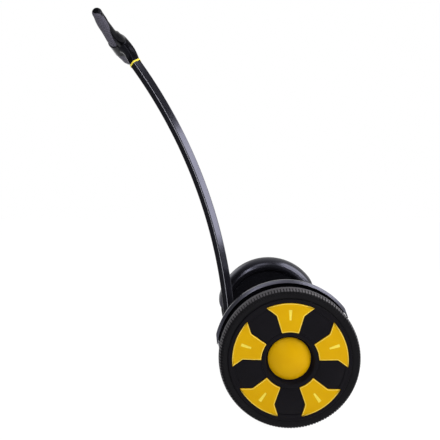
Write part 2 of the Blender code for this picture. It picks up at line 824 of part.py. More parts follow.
def fender_profile():
    """From the turned-in lip over the rolled rim and the dished wall to the axle hole."""
    edge = DISH_PLANE - FENDER_STEP
    apex = DISH_PLANE - FENDER_ROLL
    rolled = [pi / 2 * i / 5 for i in range(5, -1, -1)]
    tucked = [pi / 2 * i / 3 for i in range(2, -1, -1)]
    points = [(FENDER_RADIUS - FENDER_FLANGE, FENDER_LIP)]
    points += [
        (
            FENDER_APEX + (FENDER_RADIUS - FENDER_APEX) * sin(a),
            FENDER_LIP - (FENDER_LIP - apex) * cos(a),
        )
        for a in rolled
    ]
    points += [
        (
            FENDER_APEX - (FENDER_APEX - FENDER_EDGE) * cos(a),
            edge - (edge - apex) * sin(a),
        )
        for a in tucked
    ]
    return points + [(FENDER_DISH, DISH_PLANE), (FENDER_HOLE, DISH_PLANE)]


def make_fender(side):
    """The turned wall loses its lower part, except for an apron behind the axle flange."""
    frame = SIDE_FRAME[side]
    fender = turned(side + "_fender", fender_profile(), FENDER_STEPS, GLOSS_BLACK, frame)
    wall = fender.modifiers.new("Wall", "SOLIDIFY")
    wall.thickness = FENDER_WALL
    wall.offset = -1.0
    wall.use_even_offset = True
    far = 2 * FENDER_RADIUS
    # Local Y points down in the turned frame
    side_line = [(APRON_HALF, APRON_DROP), (APRON_HALF, -APRON_HALF * tan(FENDER_END))]
    for angle, inside in FENDER_CORNER:
        radius = FENDER_RADIUS - inside
        side_line.append((radius * cos(angle), -radius * sin(angle)))
    side_line += [(far, -far * tan(FENDER_CORNER[-1][0])), (far, far)]
    outline = [(-x, y) for x, y in reversed(side_line)] + side_line
    place = (0, DISH_PLANE, 0)
    below = plate(side + "_below_fender", [outline], 4 * FENDER_DEPTH, None, frame, place, OUTBOARD)
    cut(fender, below)


# Tray, deck and what they hold
def stand_lug_outline():
    """Seen from the side: a tapered ear that hangs from the tray and rounds the pin."""
    top = TRAY_BOTTOM + TRAY_WALL / 2
    eye = [(STAND_X + x, STAND_Z + z) for x, z in arc(STAND_EYE, 0, -pi, 6)]
    return [(STAND_X - STAND_LUG_HALF, top), (STAND_X + STAND_LUG_HALF, top)] + eye


def make_tray():
    low = (-TRAY_BACK, -TRAY_HALF_WIDTH, TRAY_BOTTOM)
    high = (TRAY_FRONT, TRAY_HALF_WIDTH, TRAY_TOP)
    tray = block("chassis_tray", low, high, CAST_ALLOY, BODY, TRAY_CORNER, "UPRIGHT")
    low = [value + TRAY_WALL for value in low]
    high = [TRAY_FRONT - TRAY_WALL, TRAY_HALF_WIDTH - TRAY_WALL, TRAY_TOP + TRAY_WALL]
    inner_corner = TRAY_CORNER - TRAY_WALL
    cut(tray, block("tray_hollow", low, high, None, BODY, inner_corner, "UPRIGHT"))
    for side, sign in SIDES.items():
        place = (0, sign * (STAND_HALF_WIDTH + RUNNING_GAP + STAND_LUG / 2), 0)
        name = side + "_stand_lug"
        join(tray, plate(name, [stand_lug_outline()], STAND_LUG, None, BODY, place, UPRIGHT))
        bore = bore_for(AXLE_RADIUS, AXLE_STEPS)
        place = (0, TRAY_HALF_WIDTH, 0)
        length = 4 * TRAY_WALL
        name = side + "_axle_hole"
        cut(tray, rod(name, bore, length, AXLE_STEPS, None, SIDE_FRAME[side], place))
    bore = bore_for(STAND_PIN, 12)
    length = 4 * STAND_HALF_WIDTH
    cut(tray, rod("stand_pin_hole", bore, length, 12, None, BODY, (STAND_X, 0, STAND_Z)))
    bore = bore_for(CHARGE_BODY, 16)
    place = (-TRAY_BACK, CHARGE_SIDE, CHARGE_HEIGHT)
    cut(tray, rod("charge_hole", bore, 4 * TRAY_WALL, 16, None, BODY, place, BACKWARD))


def make_deck():
    low = (-TRAY_BACK, -TRAY_HALF_WIDTH, DECK_BOTTOM)
    high = (TRAY_FRONT, TRAY_HALF_WIDTH, DECK_TOP)
    block("deck_plate", low, high, MATT_BLACK, BODY, TRAY_CORNER, "UPRIGHT")


def comb_outline(length, count, base, rise, share):
    """Side view of a ribbed strip: ribs stand on a base and take this share of the pitch."""
    pitch = length / count
    points = [(-length / 2, 0)]
    for i in range(count):
        left = -length / 2 + (i + (1 - share) / 2) * pitch
        right = left + share * pitch
        points += [(left, base), (left, base + rise), (right, base + rise), (right, base)]
    return points + [(length / 2, 0)]


def make_mat(side):
    base = MAT_THICK - MAT_RIB
    outline = comb_outline(MAT_LENGTH, MAT_RIBS, base, MAT_RIB, MAT_RIB_SHARE)
    place = (-MAT_SETBACK, SIDES[side] * MAT_MIDDLE, DECK_TOP + GAP)
    plate(side + "_foot_mat", [outline], MAT_WIDTH, TYRE_RUBBER, BODY, place, UPRIGHT)


def make_electrics():
    floor_top = TRAY_BOTTOM + TRAY_WALL + GAP
    length, width, height = BATTERY
    low = (-length / 2, -width / 2, floor_top)
    high = (length / 2, width / 2, floor_top + height)
    block("battery_pack", low, high, BLUE_WRAP, BODY, BATTERY_ROUND, segments=2)
    length, width, thick = BOARD
    outline = comb_outline(length, FIN_COUNT, thick, FIN_HEIGHT, FIN_SHARE)
    place = (0, 0, floor_top + height + GAP)
    plate("control_board", [outline], width, GREEN_BOARD, BODY, place, UPRIGHT)


def make_charge_socket():
    """Round socket through the back wall, its mouth facing backward."""
    mouth = CHARGE_FLANGE_THICK + GAP
    profile = [
        (0, mouth - CHARGE_BORE_DEPTH),
        (CHARGE_BORE, mouth - CHARGE_BORE_DEPTH),
        (CHARGE_BORE, mouth),
        (CHARGE_FLANGE, mouth),
        (CHARGE_FLANGE, GAP),
        (CHARGE_BODY, GAP),
        (CHARGE_BODY, mouth - CHARGE_LENGTH),
        (0, mouth - CHARGE_LENGTH),
    ]
    place = (-TRAY_BACK, CHARGE_SIDE, CHARGE_HEIGHT)
    turned("charge_socket", profile, 16, MATT_BLACK, BODY, place, BACKWARD)


def make_charge_cap():
    """Rubber flap that hangs from a bead above the socket."""
    bead_x = -TRAY_BACK - GAP - FLAP_BEAD
    hinge = empty("charge_cap_axis", BODY, (bead_x, CHARGE_SIDE, CHARGE_HEIGHT + FLAP_HINGE_RISE))
    mouth = CHARGE_FLANGE_THICK + 2 * GAP
    middle = GAP + FLAP_BEAD - mouth - FLAP_THICK / 2
    place = (middle, 0, -FLAP_HINGE_RISE)
    flap = rod("charge_cap", FLAP_RADIUS, FLAP_THICK, 20, GREY_RUBBER, hinge, place, BACKWARD)
    low = (middle - FLAP_THICK / 2, -FLAP_HALF_TAB, -FLAP_HINGE_RISE)
    high = (middle + FLAP_THICK / 2, FLAP_HALF_TAB, 0)
    join(flap, block("flap_tab", low, high, None, hinge))
    join(flap, rod("flap_bead", FLAP_BEAD, 2.4 * FLAP_HALF_TAB, 10, None, hinge))


# Lean pivot
def mount_outline():
    """Side view of the U that holds both bushes, with its inner corners braced."""
    top = LEAN_HEIGHT + LEAN_SHAFT + GAP + BUSH_WALL + MOUNT_REACH
    back_in, lug_out = MOUNT_X + MOUNT_PLATE, LUG_X + MOUNT_PLATE
    base = MOUNT_BOTTOM + MOUNT_PLATE
    brace = MOUNT_PLATE / 2
    return [
        (MOUNT_X, MOUNT_BOTTOM),
        (lug_out, MOUNT_BOTTOM),
        (lug_out, top),
        (LUG_X, top),
        (LUG_X, base + brace),
        (LUG_X - brace, base),
        (back_in + brace, base),
        (back_in, base + brace),
        (back_in, top),
        (MOUNT_X, top),
    ]


def make_post_mount():
    width = 2 * MOUNT_HALF_WIDTH
    mount = plate("post_mount", [mount_outline()], width, CAST_ALLOY, BODY, (0, 0, 0), UPRIGHT)
    bush = LEAN_SHAFT + GAP + BUSH_WALL
    for name, x in (("rear", MOUNT_X), ("front", LUG_X)):
        place = (x + MOUNT_PLATE / 2, 0, LEAN_HEIGHT)
        bore = bore_for(bush, LEAN_STEPS)
        hole = rod(name + "_bush_hole", bore, 2 * MOUNT_PLATE, LEAN_STEPS, None, BODY, place, FORWARD)
        cut(mount, hole)
        inner, half = bore_for(LEAN_SHAFT, LEAN_STEPS), MOUNT_PLATE / 2
        profile = [(inner, half), (bush, half), (bush, -half), (inner, -half)]
        turned(name + "_bush", profile, LEAN_STEPS, BRONZE, BODY, place, FORWARD, ring=True)


def make_lean_shaft():
    """Headed shaft, fixed in the socket and turning in both bushes."""
    back = MOUNT_X + SHAFT_INSET
    reach = SHAFT_FRONT - back
    profile = [
        (0, reach + SHAFT_HEAD_LENGTH),
        (SHAFT_HEAD, reach + SHAFT_HEAD_LENGTH),
        (SHAFT_HEAD, reach),
        (LEAN_SHAFT, reach),
        (LEAN_SHAFT, 0),
        (0, 0),
    ]
    turned("lean_shaft", profile, LEAN_STEPS, STEEL, POST, (back, 0, LEAN_HEIGHT), FORWARD)


def post_station(height, half_depth=POST_HALF_DEPTH, half_width=POST_HALF_WIDTH):
    x, z = post_point(height)
    return x, z, post_lean(height), half_depth, half_width, 0.0


def post_bore(extra=0.0):
    """Half depth and half width of the post's hollow, drawn in by an extra clearance."""
    inset = (POST_WALL + extra) * 1.25
    return POST_HALF_DEPTH - inset, POST_HALF_WIDTH - inset


def make_lean_socket():
    """Cast hub on the shaft, with a column that carries the post and a spigot inside it."""
    place = (SOCKET_X, 0, LEAN_HEIGHT)
    name = "lean_socket"
    socket = rod(name, SOCKET_RADIUS, SOCKET_LENGTH, 20, CAST_ALLOY, POST, place, FORWARD)
    shoulder = POST_BASE - GAP
    stations = [
        post_station(LEAN_HEIGHT, COLUMN_WAIST, COLUMN_WAIST),
        post_station(LEAN_HEIGHT + SOCKET_RADIUS, COLUMN_WAIST, COLUMN_WAIST),
        post_station(shoulder - COLUMN_SHOULDER),
        post_station(shoulder),
        post_station(shoulder, *post_bore(SPIGOT_GAP)),
        post_station(shoulder + SPIGOT_LENGTH / 2, *post_bore(SPIGOT_GAP)),
        post_station(shoulder + SPIGOT_LENGTH, *post_bore(SPIGOT_GAP)),
    ]
    join(socket, lofted("socket_column", stations, None, POST))
    bore = bore_for(LEAN_SHAFT, LEAN_STEPS)
    length = 2 * SOCKET_LENGTH
    cut(socket, rod("socket_bore", bore, length, LEAN_STEPS, None, POST, place, FORWARD))


def least_coil_gap(points, wire, per_turn):
    """Smallest clear distance between stretches of a coil at least half a turn apart."""
    gaps = [
        hypot(*(p - q for p, q in zip(points[i], points[j]))) - 2 * wire
        for i in range(len(points))
        for j in range(i + per_turn // 2, len(points))
    ]
    return min(gaps)


def make_centring_spring():
    """Torsion spring round the shaft, between the socket and the front lug."""
    points = []
    for i in range(SPRING_TURNS * SPRING_POINTS + 1):
        angle = 2 * pi * i / SPRING_POINTS
        advance = SPRING_PITCH * i / SPRING_POINTS
        points.append(
            (
                SPRING_X + advance,
                SPRING_COIL * cos(angle),
                LEAN_HEIGHT + SPRING_COIL * sin(angle),
            )
        )
    tube("centring_spring", points, SPRING_WIRE / 2, STEEL, BODY, sides=6)
    gap = least_coil_gap(points, SPRING_WIRE / 2, SPRING_POINTS)
    print(f"centring_spring: least gap to itself {gap * 1000:.2f} mm")


def make_front_cover():
    """Moulded nose over the pivot, open to the tray, with a slot for the leaning post."""
    low = (MOUNT_X, -NOSE_HALF_WIDTH, NOSE_BOTTOM)
    high = (NOSE_X, NOSE_HALF_WIDTH, NOSE_TOP)
    cover = block("front_cover", low, high, GLOSS_BLACK, BODY, NOSE_ROUND, "FRONT")
    low = (MOUNT_X - NOSE_WALL, -NOSE_HALF_WIDTH + NOSE_WALL, NOSE_BOTTOM + NOSE_WALL)
    high = (NOSE_X - NOSE_WALL, NOSE_HALF_WIDTH - NOSE_WALL, NOSE_TOP - NOSE_WALL)
    inner_round = NOSE_ROUND - NOSE_WALL
    cut(cover, block("nose_hollow", low, high, None, BODY, inner_round, "FRONT"))
    swing = (NOSE_TOP - LEAN_HEIGHT) * tan(LEAN_RANGE) + POST_HALF_WIDTH / cos(LEAN_RANGE)
    half = swing + SLOT_MARGIN
    slot_front = SOCKET_X + POST_HALF_DEPTH + SLOT_MARGIN
    low = (MOUNT_X - NOSE_WALL, -half, NOSE_TOP - NOSE_ROUND)
    high = (slot_front, half, NOSE_TOP + NOSE_WALL)
    cut(cover, block("post_slot", low, high, None, BODY))


# Post, neck and handlebar
def make_post():
    span = POST_TOP - POST_BASE
    heights = [POST_BASE + span * i / (POST_STATIONS - 1) for i in range(POST_STATIONS)]
    post = lofted("post", [post_station(h) for h in heights], BLACK_PAINT, POST)
    heights[0] -= POST_WALL
    heights[-1] += POST_WALL
    hollow = [post_station(h, *post_bore()) for h in heights]
    cut(post, lofted("post_hollow", hollow, None, POST))


def above_post(distance, half_depth, half_width, roundness=0.0):
    """A station straight above the post's top, along its last direction."""
    x = TOP_X + distance * sin(TOP_LEAN)
    z = TOP_Z + distance * cos(TOP_LEAN)
    return x, z, TOP_LEAN, half_depth, half_width, roundness


def make_collar_ring():
    depth, width = POST_HALF_DEPTH + RING_PROUD, POST_HALF_WIDTH + RING_PROUD
    ends = [above_post(GAP, depth, width), above_post(GAP + RING_THICK, depth, width)]
    ring = lofted("collar_ring", ends, YELLOW, POST)
    ends = [above_post(d, *post_bore()) for d in (-RING_THICK, 3 * RING_THICK)]
    cut(ring, lofted("ring_hole", ends, None, POST))


def make_shoulders():
    """Solid behind the bar that blends the neck into both grips."""
    stations = [(-y, *sizes) for y, *sizes in reversed(SHOULDERS[1:])] + SHOULDERS
    points = [
        (
            BAR_X - set_back * cos(SHOULDER_TILT),
            y,
            BAR_Z + bar_rise(y) + set_back * sin(SHOULDER_TILT),
        )
        for y, set_back, radius in stations
    ]
    widest = SHOULDERS[0][2]
    swells = [radius / widest for y, set_back, radius in stations]
    return tube("neck_shoulders", points, widest, None, POST, GRIP_STEPS, swells)


def make_bar_room():
    """Room that the shoulders leave for the sleeve and, behind its ends, for the grips."""
    around_sleeve = bore_for(SLEEVE_RADIUS, GRIP_STEPS)
    half = [(y, around_sleeve) for x, y, z in bar_chain(SLEEVE_HALF_WIDTH - GAP) if y > 0]
    for share, swell in GRIP_SWELL:
        across = SLEEVE_HALF_WIDTH + GAP + grip_length() * share * cos(BAR_SLOPE)
        half.append((across, bore_for(GRIP_RADIUS * swell, GRIP_STEPS)))
    stations = [(-y, radius) for y, radius in reversed(half)] + half
    chain = [(BAR_X, y, BAR_Z + bar_rise(y)) for y, radius in stations]
    swells = [radius / around_sleeve for y, radius in stations]
    return tube("bar_room", chain, around_sleeve, None, POST, GRIP_STEPS, swells)


def make_neck():
    """Moulded neck: spigot in the post, flared body, hub round the bar and a flat top."""
    seat = 2 * GAP + RING_THICK
    spigot = post_bore(SPIGOT_GAP)
    stations = [
        post_station(POST_TOP - SPIGOT_LENGTH, *spigot),
        post_station(POST_TOP - SPIGOT_LENGTH / 2, *spigot),
        above_post(seat, *spigot),
        above_post(seat, POST_HALF_DEPTH, POST_HALF_WIDTH),
    ]
    for forward, up, lean, half_depth, half_width, roundness in NECK_STATIONS:
        stations.append((TOP_X + forward, TOP_Z + up, lean, half_depth, half_width, roundness))
    neck = lofted("neck_housing", stations, GLOSS_BLACK, POST, shares=(0, 0.5))
    place = (BAR_X, 0, BAR_Z)
    bore = bore_for(SLEEVE_RADIUS, 20)
    hub = rod("neck_hub", bore + HUB_WALL, 2 * HUB_HALF_WIDTH, 20, None, POST, place)
    join(neck, hub)
    join(neck, make_shoulders())
    length = 2 * HUB_HALF_WIDTH + 2 * HUB_WALL
    cut(neck, rod("neck_hub_bore", bore, length, 20, None, POST, place))
    cut(neck, make_bar_room())
    forward, up, lean = NECK_STATIONS[-1][:3]
    button = empty("power_button_axis", POST, (TOP_X + forward, 0, TOP_Z + up), (0, lean, 0))
    well = BUTTON_HEIGHT - BUTTON_PROUD + BUTTON_TRAVEL + GAP
    radius = bore_for(BUTTON_RADIUS, 16)
    cut(neck, rod("button_well", radius, 2 * well, 16, None, button, rotation=(0, 0, 0)))
    edge = BUTTON_PROUD / 2
    profile = [
        (0, BUTTON_PROUD),
        (BUTTON_RADIUS - edge, BUTTON_PROUD),
        (BUTTON_RADIUS, BUTTON_PROUD - edge),
        (BUTTON_RADIUS, BUTTON_PROUD - BUTTON_HEIGHT),
        (0, BUTTON_PROUD - BUTTON_HEIGHT),
    ]
    turned("power_button", profile, 16, YELLOW, button, rotation=(0, 0, 0))


def bar_rise(across):
    """Height that the bar has gained at this distance from the middle plane."""
    start = BAR_BEND - BAR_BEND_HALF
    reach = abs(across) - start
    if reach <= 0:
        return 0.0
    if reach >= 2 * BAR_BEND_HALF:
        return tan(BAR_SLOPE) * (reach - BAR_BEND_HALF)
    return tan(BAR_SLOPE) * reach**2 / (4 * BAR_BEND_HALF)


def bar_chain(half_width):
    """Points along the bar's centre line, close together only in its two bends."""
    bend = [
        BAR_BEND + BAR_BEND_HALF * (2 * i / BAR_BEND_STEPS - 1) for i in range(BAR_BEND_STEPS + 1)
    ]
    places = [y for y in bend if y < half_width] + [half_width]
    places = [-y for y in reversed(places)] + places
    return [(BAR_X, y, BAR_Z + bar_rise(y)) for y in places]


def bar_end_frame(side):
    """Axis of one raised bar end, starting where the grip starts and pointing outboard."""
    sign = SIDES[side]
    start = SLEEVE_HALF_WIDTH + GAP
    place = (BAR_X, sign * start, BAR_Z + bar_rise(start))
    return empty(side + "_bar_end", POST, place, (-sign * (pi / 2 - BAR_SLOPE), 0, 0))


def grip_length():
    """Along the raised bar end, from the sleeve to the end cap."""
    reach = BAR_HALF_WIDTH - END_CAP_LENGTH - SLEEVE_HALF_WIDTH - GAP
    return reach / cos(BAR_SLOPE)


def make_handlebar():
    chain = bar_chain(BAR_HALF_WIDTH - END_CAP_LENGTH)
    bar = tube("handlebar_tube", chain, BAR_RADIUS, CAST_ALLOY, POST)
    chain = bar_chain(BAR_HALF_WIDTH + END_CAP_LENGTH)
    cut(bar, tube("handlebar_bore", chain, BAR_RADIUS - BAR_WALL, None, POST, sides=8))
    sleeve = tube(
        "centre_sleeve", bar_chain(SLEEVE_HALF_WIDTH), SLEEVE_RADIUS, GREY_RUBBER, POST, sides=12
    )
    chain = bar_chain(SLEEVE_HALF_WIDTH + BORE_OVERRUN)
    radius = bore_for(BAR_RADIUS, 10)
    cut(sleeve, tube("sleeve_bore", chain, radius, None, POST))


def make_grip(side):
    """Grip on the raised bar end, closed by a cap whose plug sits in the bar."""
    axis = bar_end_frame(side)
    length = grip_length()
    bore = bore_for(BAR_RADIUS, GRIP_STEPS)
    profile = [
        (bore, length),
        *[(GRIP_RADIUS * swell, length * share) for share, swell in reversed(GRIP_SWELL)],
        (bore, 0),
    ]
    turn = (0, 0, 0)
    turned(side + "_grip", profile, GRIP_STEPS, GREY_RUBBER, axis, rotation=turn, ring=True)
    back = length + GAP
    face = back + END_CAP_LENGTH
    plug = (BAR_RADIUS - BAR_WALL) * cos(pi / 8) - GAP
    profile = [
        (0, face),
        *[
            (GRIP_RADIUS - END_CAP_ROUND + u, face - END_CAP_ROUND + v)
            for u, v in arc(END_CAP_ROUND, pi / 2, 0, 3)
        ],
        (GRIP_RADIUS, back),
        (plug, back),
        (plug, back - PLUG_LENGTH),
        (0, back - PLUG_LENGTH),
    ]
    turned(side + "_end_cap", profile, GRIP_STEPS, MATT_BLACK, axis, rotation=turn)


# Stand, built in the levelled frame of its pivot
def make_stand():
    foot_z = FOOT_THICK - STAND_HEIGHT
    name = "stand_leg"
    leg = rod(name, STAND_EYE, 2 * STAND_HALF_WIDTH, 12, STEEL, STAND_AXIS)
    half, bend = STAND_LEG_HALF, STAND_BEND
    lean = STAND_AHEAD / -foot_z
    corner = [(half - bend + y, foot_z + bend + z) for y, z in arc(bend, 0, -pi / 2, 4)]
    side_view = [(half, 0)] + corner
    side_view += [(-y, z) for y, z in reversed(side_view)]
    points = [(-z * lean, y, z) for y, z in side_view]
    join(leg, tube("leg_loop", points, STAND_LEG, None, STAND_AXIS, sides=8))
    bore = bore_for(STAND_PIN, 12)
    cut(leg, rod("leg_bore", bore, 3 * STAND_HALF_WIDTH, 12, None, STAND_AXIS))
    low = (STAND_AHEAD - FOOT_HALF_LENGTH, -FOOT_HALF_WIDTH, -STAND_HEIGHT)
    high = (STAND_AHEAD + FOOT_HALF_LENGTH, FOOT_HALF_WIDTH, foot_z)
    foot = block("stand_foot", low, high, TYRE_RUBBER, STAND_AXIS)
    groove = bore_for(STAND_LEG, 12)
    place = (STAND_AHEAD, 0, foot_z)
    cut(foot, rod("foot_groove", groove, 3 * FOOT_HALF_WIDTH, 12, None, STAND_AXIS, place))


def make_stand_pin():
    length = 2 * (STAND_HALF_WIDTH + RUNNING_GAP + STAND_LUG)
    rod("stand_pin", STAND_PIN, length, 12, STEEL, BODY, (STAND_X, 0, STAND_Z))


def shade_round_pieces():
    """Smooth shading that keeps flat faces flat, without changing any shape."""
    for obj in PARTS.objects:
        if obj.type != "MESH":
            continue
        for step in obj.modifiers:
            if step.type == "SCREW":
                step.use_smooth_shade = True
        if len(obj.data.polygons):
            obj.data.shade_smooth()
            obj.data.set_sharp_from_angle(angle=radians(35))
        else:
            obj.modifiers.new("Shading", "WEIGHTED_NORMAL").weight = 100


def main():
    for side in SIDES:
        make_tyre(side)
        make_hub(side)
        make_motor_cover(side)
        make_bearing(side, "outer")
        make_bearing(side, "inner")
        make_wheel_cover(side)
        for number in range(INSERTS):
            make_insert(side, number)
        make_centre_cap(side)
        make_axle(side)
        make_axle_nut(side)
        make_stator(side)
        make_fender(side)
        make_mat(side)
    make_tray()
    make_deck()
    make_electrics()
    make_charge_socket()
    make_charge_cap()
    make_post_mount()
    make_lean_shaft()
    make_lean_socket()
    make_centring_spring()
    make_front_cover()
    make_post()
    make_collar_ring()
    make_neck()
    make_handlebar()
    for side in SIDES:
        make_grip(side)
    make_stand_pin()
    make_stand()
    shade_round_pieces()


main()
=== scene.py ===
"""Dresses the self-balancing scooter: fine shapes, finishes, studio light and the camera.

Metres, +X forward, +Y to the rider's left, +Z up. The body frame lies level on the axle and is
pitched nose-down; round pieces are turned about a local Z that points outboard, local -Y up.
"""

import json
from math import asin, atan2, cos, hypot, pi, radians, sin, sqrt, tan

import bmesh
import bpy
from mathutils import Matrix, Vector


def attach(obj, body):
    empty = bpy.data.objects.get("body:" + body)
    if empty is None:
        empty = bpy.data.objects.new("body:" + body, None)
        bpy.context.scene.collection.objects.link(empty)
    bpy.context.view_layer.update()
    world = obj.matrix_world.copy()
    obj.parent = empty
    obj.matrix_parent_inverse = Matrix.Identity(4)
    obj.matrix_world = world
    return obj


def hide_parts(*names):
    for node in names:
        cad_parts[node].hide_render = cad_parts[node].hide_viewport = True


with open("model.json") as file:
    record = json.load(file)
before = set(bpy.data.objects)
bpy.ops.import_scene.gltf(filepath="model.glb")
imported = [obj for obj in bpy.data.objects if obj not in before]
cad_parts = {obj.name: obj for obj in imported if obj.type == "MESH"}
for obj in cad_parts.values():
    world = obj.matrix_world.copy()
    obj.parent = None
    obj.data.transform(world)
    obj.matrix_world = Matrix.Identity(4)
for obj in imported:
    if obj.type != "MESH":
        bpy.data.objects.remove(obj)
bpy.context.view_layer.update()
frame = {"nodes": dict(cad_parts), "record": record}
scene = bpy.context.scene


def shift(x, y, z):
    return Matrix.Translation((x, y, z))


def about(axis, angle):
    return Matrix.Rotation(angle, 4, axis)


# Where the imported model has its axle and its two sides
PITCH = radians(12.0)
AXLE = Vector((-0.192681, 0.0, 0.202307))
WHEEL_Y = 0.257
SIDES = {"left": 1, "right": -1}
BODY = Matrix.Translation(AXLE) @ about("Y", PITCH)
OUTBOARD = about("X", -pi / 2)
# Clearance between pieces that are fixed to each other
GAP = 0.0003


def side_turn(side):
    return about("Z", 0 if side == "left" else pi)


def fixed_frame(side):
    """Turned pieces on the tray; local Z is the distance from the middle plane."""
    return BODY @ side_turn(side) @ OUTBOARD


def wheel_frame(side):
    """Turned pieces of a wheel; local Z is the distance outboard of the tyre's middle."""
    centre = AXLE + Vector((0, SIDES[side] * WHEEL_Y, 0))
    return Matrix.Translation(centre) @ side_turn(side) @ OUTBOARD


# Making and finishing a shape
def clean(shape):
    bmesh.ops.remove_doubles(shape, verts=shape.verts, dist=0.000005)
    bmesh.ops.recalc_face_normals(shape, faces=shape.faces)


def turned(points, steps, edge=0.0, closed=False):
    """Radius and height pairs turned once round local Z, with rounded edges if a width is given."""
    shape = bmesh.new()
    corners = [shape.verts.new((radius, 0, height)) for radius, height in points]
    pairs = list(zip(corners, corners[1:]))
    if closed:
        pairs.append((corners[-1], corners[0]))
    edges = [shape.edges.new(pair) for pair in pairs]
    bmesh.ops.spin(
        shape, geom=corners + edges, cent=(0, 0, 0), axis=(0, 0, 1), dvec=(0, 0, 0),
        angle=2 * pi, steps=steps, use_merge=True,
    )
    clean(shape)
    if edge:
        soften(shape, edge)
    return shape


def rod(radius, half, steps, edge=0.0):
    """A plain cylinder along local Z."""
    return turned([(0, half), (radius, half), (radius, -half), (0, -half)], steps, edge)


def soften(shape, width, segments=2, sharper_than=radians(30), edges=None):
    """Rounds the edges that turn by more than this angle, or the given ones."""
    if edges is None:
        edges = [e for e in shape.edges if e.is_manifold and e.calc_face_angle(0) > sharper_than]
    bmesh.ops.bevel(
        shape, geom=edges, offset=width, offset_type="OFFSET", segments=segments,
        profile=0.5, affect="EDGES", material=-1, clamp_overlap=True,
    )


def upright_edges(shape, least):
    """Edges that climb by more than this."""
    return [e for e in shape.edges if abs(e.verts[0].co.z - e.verts[1].co.z) > least]


def flat_shape(outline, low, high):
    """An outline in local XY, raised from one height to another."""
    shape = bmesh.new()
    face = shape.faces.new([shape.verts.new((x, y, low)) for x, y in outline])
    raised = bmesh.ops.extrude_face_region(shape, geom=[face])["geom"]
    tops = [v for v in raised if isinstance(v, bmesh.types.BMVert)]
    bmesh.ops.translate(shape, vec=(0, 0, high - low), verts=tops)
    clean(shape)
    return shape


def open_where(shape, test):
    """Deletes the faces whose middle and normal pass a test."""
    faces = [f for f in shape.faces if test(f.calc_center_median(), f.normal)]
    bmesh.ops.delete(shape, geom=faces, context="FACES")


def box_shape(low, high):
    shape = bmesh.new()
    size = [b - a for a, b in zip(low, high)]
    middle = [(a + b) / 2 for a, b in zip(low, high)]
    place = Matrix.Translation(middle) @ Matrix.Diagonal((*size, 1))
    bmesh.ops.create_cube(shape, size=1.0, matrix=place)
    return shape


def move(shape, matrix):
    bmesh.ops.transform(shape, matrix=matrix, verts=shape.verts)
    return shape


def together(*shapes):
    """Several closed shapes as one piece."""
    whole = bmesh.new()
    for shape in shapes:
        part = bpy.data.meshes.new("part")
        shape.to_mesh(part)
        shape.free()
        whole.from_mesh(part)
        bpy.data.meshes.remove(part)
    return whole


def bridged(shape, rings, closed_ends=True):
    """Skins a row of vertex rings and closes both ends."""
    for lower, upper in zip(rings, rings[1:]):
        edges = [e for v in lower for e in v.link_edges if e.other_vert(v) in lower]
        edges += [e for v in upper for e in v.link_edges if e.other_vert(v) in upper]
        bmesh.ops.bridge_loops(shape, edges=list(set(edges)))
    if closed_ends:
        shape.faces.new(rings[0])
        shape.faces.new(rings[-1])
    clean(shape)


def ring_at(shape, matrix, radius, sides):
    """A round ring square to the matrix's Z."""
    return bmesh.ops.create_circle(
        shape, cap_ends=False, radius=radius, segments=sides, matrix=matrix
    )["verts"]


def swept(stations, sides):
    """A round bar through matrices and radii."""
    shape = bmesh.new()
    bridged(shape, [ring_at(shape, matrix, radius, sides) for matrix, radius in stations])
    return shape


def piece(name, shape, place, look, body, stands_for=(), smooth=radians(38)):
    """Makes the object, hangs it on its body and hides the CAD nodes that it stands for."""
    data = bpy.data.meshes.new(name)
    move(shape, place)
    bmesh.ops.recalc_face_normals(shape, faces=shape.faces)
    shape.to_mesh(data)
    shape.free()
    data.shade_smooth()
    data.set_sharp_from_angle(angle=smooth)
    made = bpy.data.objects.new(name, data)
    scene.collection.objects.link(made)
    for each in look if isinstance(look, tuple) else (look,):
        data.materials.append(each)
    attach(made, body)
    if stands_for:
        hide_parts(*stands_for)
    return made


def walled(made, thickness, edge, segments, sharper_than):
    """Gives a skin its wall, inward, and rounds the wall's edges."""
    wall = made.modifiers.new("Wall", "SOLIDIFY")
    wall.thickness, wall.offset, wall.use_even_offset = thickness, -1.0, True
    rim = made.modifiers.new("Rounded edge", "BEVEL")
    rim.width, rim.segments = edge, segments
    rim.limit_method, rim.angle_limit = "ANGLE", sharper_than


def wheel_piece(side, name, shape, look, stands_for):
    """A piece that turns with the wheel on this side and stands for one CAD node."""
    piece(
        f"{side}_{name}", shape, wheel_frame(side), look, side + "_wheel",
        [f"{side}_{stands_for}"],
    )


# Finishes
def linear(hex_colour):
    value = int(hex_colour, 16)
    channels = [(value >> bits & 255) / 255 for bits in (16, 8, 0)]
    return (*(c / 12.92 if c <= 0.04045 else ((c + 0.055) / 1.055) ** 2.4 for c in channels), 1)


def add_node(look, kind, links=None, **settings):
    """One node with its settings; links holds its inputs' values or the sockets that feed them."""
    node = look.node_tree.nodes.new(kind)
    for name, value in settings.items():
        setattr(node, name, value)
    for name, value in (links or {}).items():
        if isinstance(value, bpy.types.NodeSocket):
            look.node_tree.links.new(value, node.inputs[name])
        else:
            node.inputs[name].default_value = value
    return node


def finish(name, **sockets):
    """A new finish with its shader, whose plain values are set on its own sockets."""
    look = bpy.data.materials.new(name)
    look.use_nodes = True
    shader = look.node_tree.nodes["Principled BSDF"]
    for socket, value in sockets.items():
        shader.inputs[socket.replace("_", " ")].default_value = value
    return look, shader


